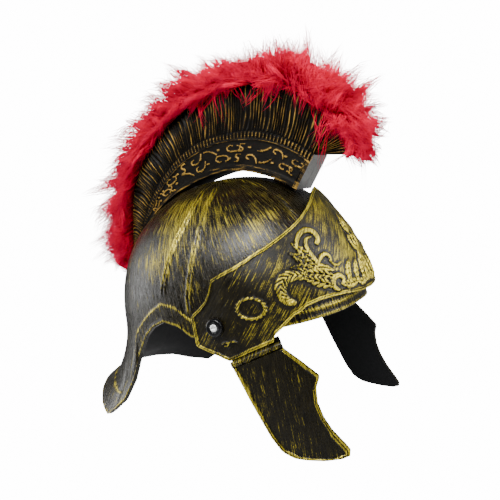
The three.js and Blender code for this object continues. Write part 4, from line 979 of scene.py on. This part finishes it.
# scrolls of the crest's band, in half sizes along it and up
scrollShapes = {
    "loop": [(-0.5, -0.35), (-0.95, -0.2), (-0.8, 0.4), (0, 0.6), (0.8, 0.5), (0.95, 0), (0.5, -0.4),
             (0.15, -0.3)],
    "hook": [(-0.8, -0.6), (-0.6, 0.2), (0, 0.6), (0.7, 0.45), (0.8, -0.05), (0.4, -0.2)],
    "wave": [(-0.4, 0.6), (0.1, 0.55), (0.25, 0.15), (-0.2, -0.15), (-0.1, -0.55), (0.4, -0.6)],
    "leaf": [(-0.8, -0.5), (-0.2, 0.1), (0.4, 0.4), (0.9, 0.45)],
    "dot": [(-0.12, 0), (0.12, 0)],
}
scrollOrder = ["loop", "dot", "hook", "leaf", "dot", "wave", "loop", "dot", "leaf", "hook", "wave", "dot"]
# height share, first place and first kind of each row, where the rows end, and the largest half size
scrollRows = {"rows": ((0.74, 9.0, 0), (0.41, 12.5, 5)), "end": 262, "largest": 6.2, "leastRoom": 5}


def bandRelief(run, up, tall):
    # two staggered rows of scrolls and beads, larger towards the crest's middle
    field, level = np.zeros(run.shape), up * tall
    for row, (share, place, index) in enumerate(scrollRows["rows"]):
        while place < scrollRows["end"]:
            tallHere = float(np.interp(place, bandRun, bandTall))
            room = tallHere * 0.78
            growth = 0.72 + 0.28 * math.sin(min(place, 150) / 150 * math.pi / 2)
            size = min(room * 0.4, scrollRows["largest"]) * growth
            kind = scrollOrder[index % len(scrollOrder)]
            if room > scrollRows["leastRoom"]:
                turn, middle = -1 if (index + row) % 3 == 0 else 1, tallHere * share
                shape = scrollShapes[kind]
                path = [(place + px * size * 1.25, middle + py * size * turn) for px, py in shape]
                wide = 1.15 if kind == "dot" else 0.62 + 0.04 * size
                stroke = strokeField(run, level, path, (wide * 0.8, wide, wide * 0.8), crest["reliefHeight"])
                field = np.maximum(field, stroke)
            place += size * (1.5 if kind in ("dot", "wave") else 2.9) * 0.93
            index += 1
    return field


def crestPath(columns):
    # stations from the fan's lowest to the crest's rear: turn, origin, low, high, half width and flute
    fanTurns = np.linspace(crest["fanTurn"], 0, columns // 9)[:-1]
    ones, leans = np.ones(len(fanTurns)), np.linspace(frontLean, rearLean, columns + 1 - len(fanTurns))
    fanStart = float(crestLine(4, frontLean) - crestLine(3, frontLean)) / crest["height"]
    fanHigh = column([(0, fanStart), *fanTable], fanTurns, 1)
    y, z = middlePoint(leans, spineReach(leans))
    turns = np.concatenate([frontLean + fanTurns, leans])
    originY, originZ = np.concatenate([fanCorner[0] * ones, y]), np.concatenate([fanCorner[1] * ones, z])
    low = np.concatenate([0.5 * ones, crestLine(3, leans) - 0.5])
    high = np.concatenate([fanHigh * crest["height"], crestLine(4, leans)])
    half = np.concatenate([ones, column(crestTable, leans, 6)]) * crest["half"]
    fanPhase = -fanTurns / crest["fanTurn"] * crest["fanFlutes"]
    phase = np.concatenate([fanPhase, np.linspace(0, crest["flutes"], len(leans))])
    return turns, originY, originZ, low, high, half, phase


# height up the flutes as a share, and how far the section bulges there in millimetres
fluteBulge = [(0, -2.6), (0.05, -2.0), (0.22, -0.7), (0.5, 0.3), (0.82, -0.9), (0.94, -2.3), (1, -4.2)]


def placeFlutes(across, down):
    turns, originY, originZ, low, high, half, phase = (value[across] for value in crestPath(crest["columns"]))
    faceRows = crest["faceRows"]
    share = np.clip((down - 1) / (faceRows - 1), 0, 1)
    body = column(fluteBulge, share, 1) + half
    # flutes of uneven width that sway a little on their way up
    wobble = 0.42 * np.sin(phase * 0.9) + 0.3 * np.sin(phase * 0.37 + 1.3)
    sway = 0.5 * np.sin(share * 4.4 + 0.6 * np.sin(phase * 0.13)) + 0.9 * np.sin(phase * 0.05) * share
    place = phase + wobble + sway * smooth((phase + 3) / 14)
    wave = 0.5 + 0.5 * np.cos(place * 2 * math.pi)
    ridge, size = wave ** 3, np.clip((high - low) / 22, 0.35, 1)
    ends = smooth(share / 0.06) * (0.55 + 0.45 * smooth((1 - share) / 0.1 + 0.3))
    depth = crest["fluteDepth"] * size * ends
    luck = (np.sin(np.rint(place) * 12.9898) * 43758.5453) % 1  # each flute's own share of the paint
    broken = 0.4 * np.sin(share * (5 + luck * 9) + luck * 40)
    wear = ridge * (1.75 + (luck - 0.6) * 1.3 + broken) - 0.95 + 0.7 * smooth((share - 0.84) / 0.1) * ridge
    wear = wear - 0.45 * smooth((0.09 - share) / 0.06) - 0.15 * smooth((0.45 - share) / 0.4)
    wear = wear + (0.7 * smooth((phase - 48) / 40) + 0.3 * smooth((8 - phase) / 10)) * ridge
    # the rows before and after the face close the section along the seam
    x = np.where((down == 0) | (down > faceRows), seam, body + (wave - 0.5) * depth * 1.5)
    rise = low + (high - low) * share
    rise = np.where(down == faceRows + 2, low, np.where(down == faceRows + 1, high, rise))
    rise = rise + np.where((share > 0.9) & (down <= faceRows), (ridge - 0.5) * depth * 0.8, 0)
    y = originY - rise * np.sin(np.radians(turns))
    z = originZ + rise * np.cos(np.radians(turns))
    return np.column_stack([x, y, z]), wear, (place * 3.4, rise), np.zeros(len(x))


def makeCrestHalf():
    finishes = [agedCrest, paleEnd]
    flutes = gridPiece("crestFlutes", crest["columns"], crest["faceRows"] + 2, placeFlutes, finishes,
                       closeEnds=True, angle=60)
    band = gridPiece("crestBand", crest["bandColumns"], crest["bandRows"] + 3, placeBand, finishes,
                     closeEnds=True, angle=45)
    for face in band.data.polygons:
        if len(face.vertices) > 5 and face.center.y < 0:  # the pale flat end in front
            face.material_index = 1
            face.use_smooth = False
    feet = []
    for lean in crest["feetLeans"]:
        y, z = middlePoint(lean, float(spineReach(lean)))
        tall = float(crestLine(1, lean)) + 1
        place = Matrix.Translation((0, y * mm, z * mm)) @ Matrix.Rotation(math.radians(lean), 4, "X")
        feet.append(blockPiece("crestFoot", (2, -8, 1.5), (10, 8, tall), place, [agedCrest]))
    return joinAll([flutes, band, *feet])


crestLeft = makeCrestHalf()
crestLeft.name = "crestLeft"
crestRight = copyMirrored(crestLeft, "crestRight")
finishPiece(crestLeft, "shell", "dark_gold", "crest_left")
finishPiece(crestRight, "shell", "dark_gold", "crest_right")

print("stage: feather trim")

plume = {
    "height": 124, "half": 25, "rootHalf": 12, "seed": 7,
    "rearLimit": 177, "topLimit": 134, "frontLimit": 172, "rearLean": -69,
    "coreHalf": 14.5, "coreRise": 0.30, "coreColumns": 90, "coreRows": 14,
}
# soft down close to the trim, longer locks that end in points, and loose curls that hang over the flutes;
# steps are the stations along a strand, from its root to its tip
downLook = {
    "clumps": 420, "strandsEach": 28, "steps": (0, 0.55, 1.0), "radius": 0.24, "shortest": 0.45, "span": 0.55,
    "spread": 9.0, "gather": 0.45, "drop": 0.6, "curl": 3.5, "overFlutes": False,
}
lockLook = {
    "clumps": 300, "strandsEach": 20, "steps": (0, 0.25, 0.5, 0.78, 1.0), "radius": 0.3, "shortest": 0.72,
    "span": 0.5, "spread": 7.0, "gather": 0.12, "drop": 0.75, "curl": 4.5, "overFlutes": False,
}
curlLook = {
    "clumps": 34, "strandsEach": 5, "steps": (0, 0.25, 0.5, 0.78, 1.0), "radius": 0.26, "shortest": 0.7,
    "span": 0.6, "spread": 6.0, "gather": 0.3, "drop": 1.35, "curl": 9, "overFlutes": True,
}
# the root colour is painted shade at the strands' roots
featherLook = {
    # the tip colour is a paler pink, partly the feathers' own and partly a painted highlight
    "body": ((0.15, 0.0, 0.004), (0.78, 0.0, 0.034)), "root": (0.05, 0.0, 0.001), "tip": (1.0, 0.004, 0.085),
    "rootShadeFade": 2.2, "tipPower": 2.2, "tipPaleAndLitShare": 0.8, "rough": 0.75, "gloss": 0.06,
}


def trimPath(share):
    # foot and tip of the trim's middle line, its direction along the crest and its width
    rows = []
    for turn, flute, trim in fanTable[::-1]:
        rows.append((frontLean + turn, *fanCorner, flute * crest["height"], trim * plume["height"], 1.0))
    for lean in np.linspace(frontLean, plume["rearLean"], 40):
        y, z = middlePoint(lean, spineReach(lean))
        trim, width = column(crestTable, lean, 5) * plume["height"], column(crestTable, lean, 6)
        rows.append((lean, y, z, crestLine(4, lean), trim, width))
    leans, originY, originZ, foot, tip, width = np.array(rows, float).T
    sine, cosine = np.sin(np.radians(leans)), np.cos(np.radians(leans))
    footY, footZ = originY - foot * sine, originZ + foot * cosine
    tipY, tipZ = originY - tip * sine, originZ + tip * cosine
    run = np.concatenate([[0], np.cumsum(np.hypot(np.diff((footY + tipY) / 2), np.diff((footZ + tipZ) / 2)))])
    return [np.interp(share, run / run[-1], values) for values in (footY, footZ, tipY, tipZ, leans, width)]


# share of the trim from the front, the strands' sweep to the rear and their height as shares of the trim's
sweepTable = [
    (0, -0.8, 0.95), (0.05, -0.5, 1), (0.16, -0.3, 1.08), (0.26, 0.0, 1.06), (0.38, 0.4, 1.03),
    (0.6, 0.78, 1), (0.78, 0.85, 1.02), (0.9, 0.6, 1.02), (1, 0.1, 1),
]


def makeStrands(name, seed, look):
    dice = np.random.default_rng(seed)
    clumps, each, steps = look["clumps"], look["strandsEach"], np.array(look["steps"])
    centre, angle = dice.uniform(0, 0.975, clumps), dice.uniform(-112, 112, clumps)
    if look["overFlutes"]:  # drawn anew, for the front half and for both sides
        centre, angle = dice.uniform(0, 0.5, clumps), dice.uniform(96, 122, clumps)
        angle = angle * dice.choice((-1, 1), clumps)
    reach, leanTo = dice.uniform(0.8, 1.2, clumps), dice.normal(0, 0.2, clumps)
    swirl, curl = dice.normal(0, 5.0, clumps), dice.normal(0, look["curl"], (clumps, 2))
    count, last = clumps * each, len(steps) - 1
    which = np.repeat(np.arange(clumps), each)
    root = np.clip(centre[which] + dice.normal(0, 0.014, count), 0, 1)
    tipAlong = np.clip(centre[which] + (root - centre[which]) * look["gather"], 0, 1)
    around = np.clip(angle[which] + dice.normal(0, look["spread"], count), -124, 124)
    length = reach[which] * (look["shortest"] + look["span"] * dice.beta(1.4, 1.8, count))
    spots = np.zeros((count, len(steps), 3))
    for k, t in enumerate(steps):
        share = root + (tipAlong - root) * t
        footY, footZ, tipY, tipZ, lean, width = trimPath(share)
        tall = np.hypot(tipY - footY, tipZ - footZ)
        upY, upZ = (tipY - footY) / tall, (tipZ - footZ) / tall
        tall = tall * column(sweepTable, share, 2)
        backY, backZ = np.cos(np.radians(lean)), np.sin(np.radians(lean))
        turn = around + (angle[which] - around) * (1 - look["gather"]) * t
        side, over = np.sin(np.radians(turn)), np.cos(np.radians(turn))
        spread = plume["rootHalf"] + (plume["half"] - plume["rootHalf"]) * np.minimum(1, t * 1.7) ** 0.8
        # strands leave upwards and outwards, and those of the sides droop past the foot
        climb = np.where(over > 0, over ** 0.75, over * look["drop"]) * t
        height = tall * length * (climb + 0.10 * math.sin(t * math.pi))
        moved = (column(sweepTable, share, 1) + leanTo[which]) * tall * length * t ** 1.5 * 0.8
        height = height - np.abs(moved) * 0.12 * t
        wave = math.sin(t * math.pi * 1.3)
        spots[:, k, 0] = side * spread * width + swirl[which] * t ** 2
        spots[:, k, 1] = footY + upY * height + backY * moved + curl[which, 0] * wave * t
        spots[:, k, 2] = footZ + upZ * height + backZ * moved + curl[which, 1] * wave * t
        spots[:, k] += dice.normal(0, 0.9 * t, (count, 3))
    # clumps that stand out too far are drawn in, each from a place of its own, so that no flat edge shows
    for axis, sign, limitName in ((1, 1, "rearLimit"), (1, -1, "frontLimit"), (2, 1, "topLimit")):
        limit = plume[limitName]
        reached, ends = spots[..., axis] * sign, (limit - dice.uniform(1, 16, clumps))[which][:, None]
        spots[..., axis] = sign * np.where(reached > ends, ends + (reached - ends) * 0.3, reached)
    direction = spots[:, -1] - spots[:, 0]
    direction /= np.linalg.norm(direction, axis=1)[:, None]
    first = np.cross(direction, dice.normal(0, 1, (count, 3)))
    first /= np.linalg.norm(first, axis=1)[:, None]
    second = np.cross(direction, first)
    # each strand is a three-sided tube that ends in one point
    vertices = np.zeros((count, last * 3 + 1, 3))
    for k in range(last):
        size = look["radius"] * (1 - 0.35 * (k / last) ** 2)
        for corner in range(3):
            turn = corner * 2 * math.pi / 3
            outwards = first * math.cos(turn) + second * math.sin(turn)
            vertices[:, k * 3 + corner] = spots[:, k] + outwards * size
    vertices[:, -1] = spots[:, -1]
    ring = [(0, 1, 4, 3), (1, 2, 5, 4), (2, 0, 3, 5)]
    quads = [tuple(corner + 3 * k for corner in face) for k in range(last - 1) for face in ring]
    end, top = last * 3, last * 3 - 3
    tips = [(top, top + 1, end), (top + 1, top + 2, end), (top + 2, top, end), (0, 2, 1)]
    start = np.arange(count)[:, None, None] * (end + 1)
    quadFaces, tipFaces = (start + np.array(quads)).reshape(-1, 4), (start + np.array(tips)).reshape(-1, 3)
    mesh = bpy.data.meshes.new(name)
    mesh.from_pydata((vertices.reshape(-1, 3) * mm).tolist(), [], quadFaces.tolist() + tipFaces.tolist())
    shade = np.clip(dice.normal(0.5, 0.22, clumps)[which] * 0.7 + dice.uniform(0, 0.3, count), 0, 1)
    addValues(mesh, "tipLevel", np.tile(np.repeat(steps, [3] * last + [1]), count))
    addValues(mesh, "strandShade", np.repeat(shade, end + 1))
    mesh.materials.append(redDown)
    piece = bpy.data.objects.new(name, mesh)
    bpy.context.scene.collection.objects.link(piece)
    pickOnly(piece)
    bpy.ops.object.shade_smooth()
    return piece


def featherMaterial(look):
    # painted shade darkens the strands towards their roots, their tone differs at random, and the tips turn
    # paler pink, partly their own colour and partly a painted highlight
    material, tree, shader = newMaterial("redDown", look["gloss"])
    tip = plainNode(tree, "ShaderNodeAttribute", attribute_name="tipLevel").outputs["Fac"]
    shade = plainNode(tree, "ShaderNodeAttribute", attribute_name="strandShade").outputs["Fac"]
    body = mixColour(tree, shade, *look["body"])
    low = mixColour(tree, mathNode(tree, "MULTIPLY", tip, look["rootShadeFade"], clamp=True), look["root"], body)
    # the tips' paler pink: partly the feathers' own colour, partly a painted highlight
    tipPaleAndLitShare = mathNode(tree, "MULTIPLY", mathNode(tree, "POWER", tip, look["tipPower"]), look["tipPaleAndLitShare"])
    tree.links.new(mixColour(tree, tipPaleAndLitShare, low, look["tip"]), shader.inputs["Base Color"])
    shader.inputs["Roughness"].default_value = look["rough"]
    return material


redDown = featherMaterial(featherLook)
# the core's dark red is painted shade of the plume's depths
rootDownShaded = plainMaterial("redDownRootsShaded", (0.16, 0.0, 0.004), 0.9, grain=0.6, gloss=0.05)


def placeCore(across, down):
    # the dense middle of the trim, a lumpy roll
    share, angle = across / plume["coreColumns"], down / plume["coreRows"] * 2 * math.pi
    footY, footZ, tipY, tipZ, _, width = trimPath(share)
    ripple = 1 + 0.12 * np.sin(across * 1.7 + np.sin(angle * 3)) + 0.08 * np.sin(across * 0.7 + angle * 2)
    size = np.where((share < 0.02) | (share > 0.98), 0.5, 1.0)
    x = np.sin(angle) * plume["coreHalf"] * width * ripple * size
    rise = plume["coreRise"] * (1 - np.cos(angle) * ripple * size)
    spots = np.column_stack([x, footY + (tipY - footY) * rise, footZ + (tipZ - footZ) * rise])
    return spots, np.zeros(len(x)), (across, down), np.zeros(len(x))


plumePieces = [gridPiece("plumeCore", plume["coreColumns"], plume["coreRows"], placeCore, [rootDownShaded],
                         closeEnds=True, angle=80)]
for number, (name, look) in enumerate((("plumeDownFirst", downLook), ("plumeDownSecond", downLook),
                                       ("plumeLocks", lockLook), ("plumeCurls", curlLook))):
    plumePieces.append(makeStrands(name, plume["seed"] + number, look))
for number, piece in enumerate(plumePieces):
    finishPiece(piece, "shell", "red_feather", *(["plume"] if number == 0 else []))
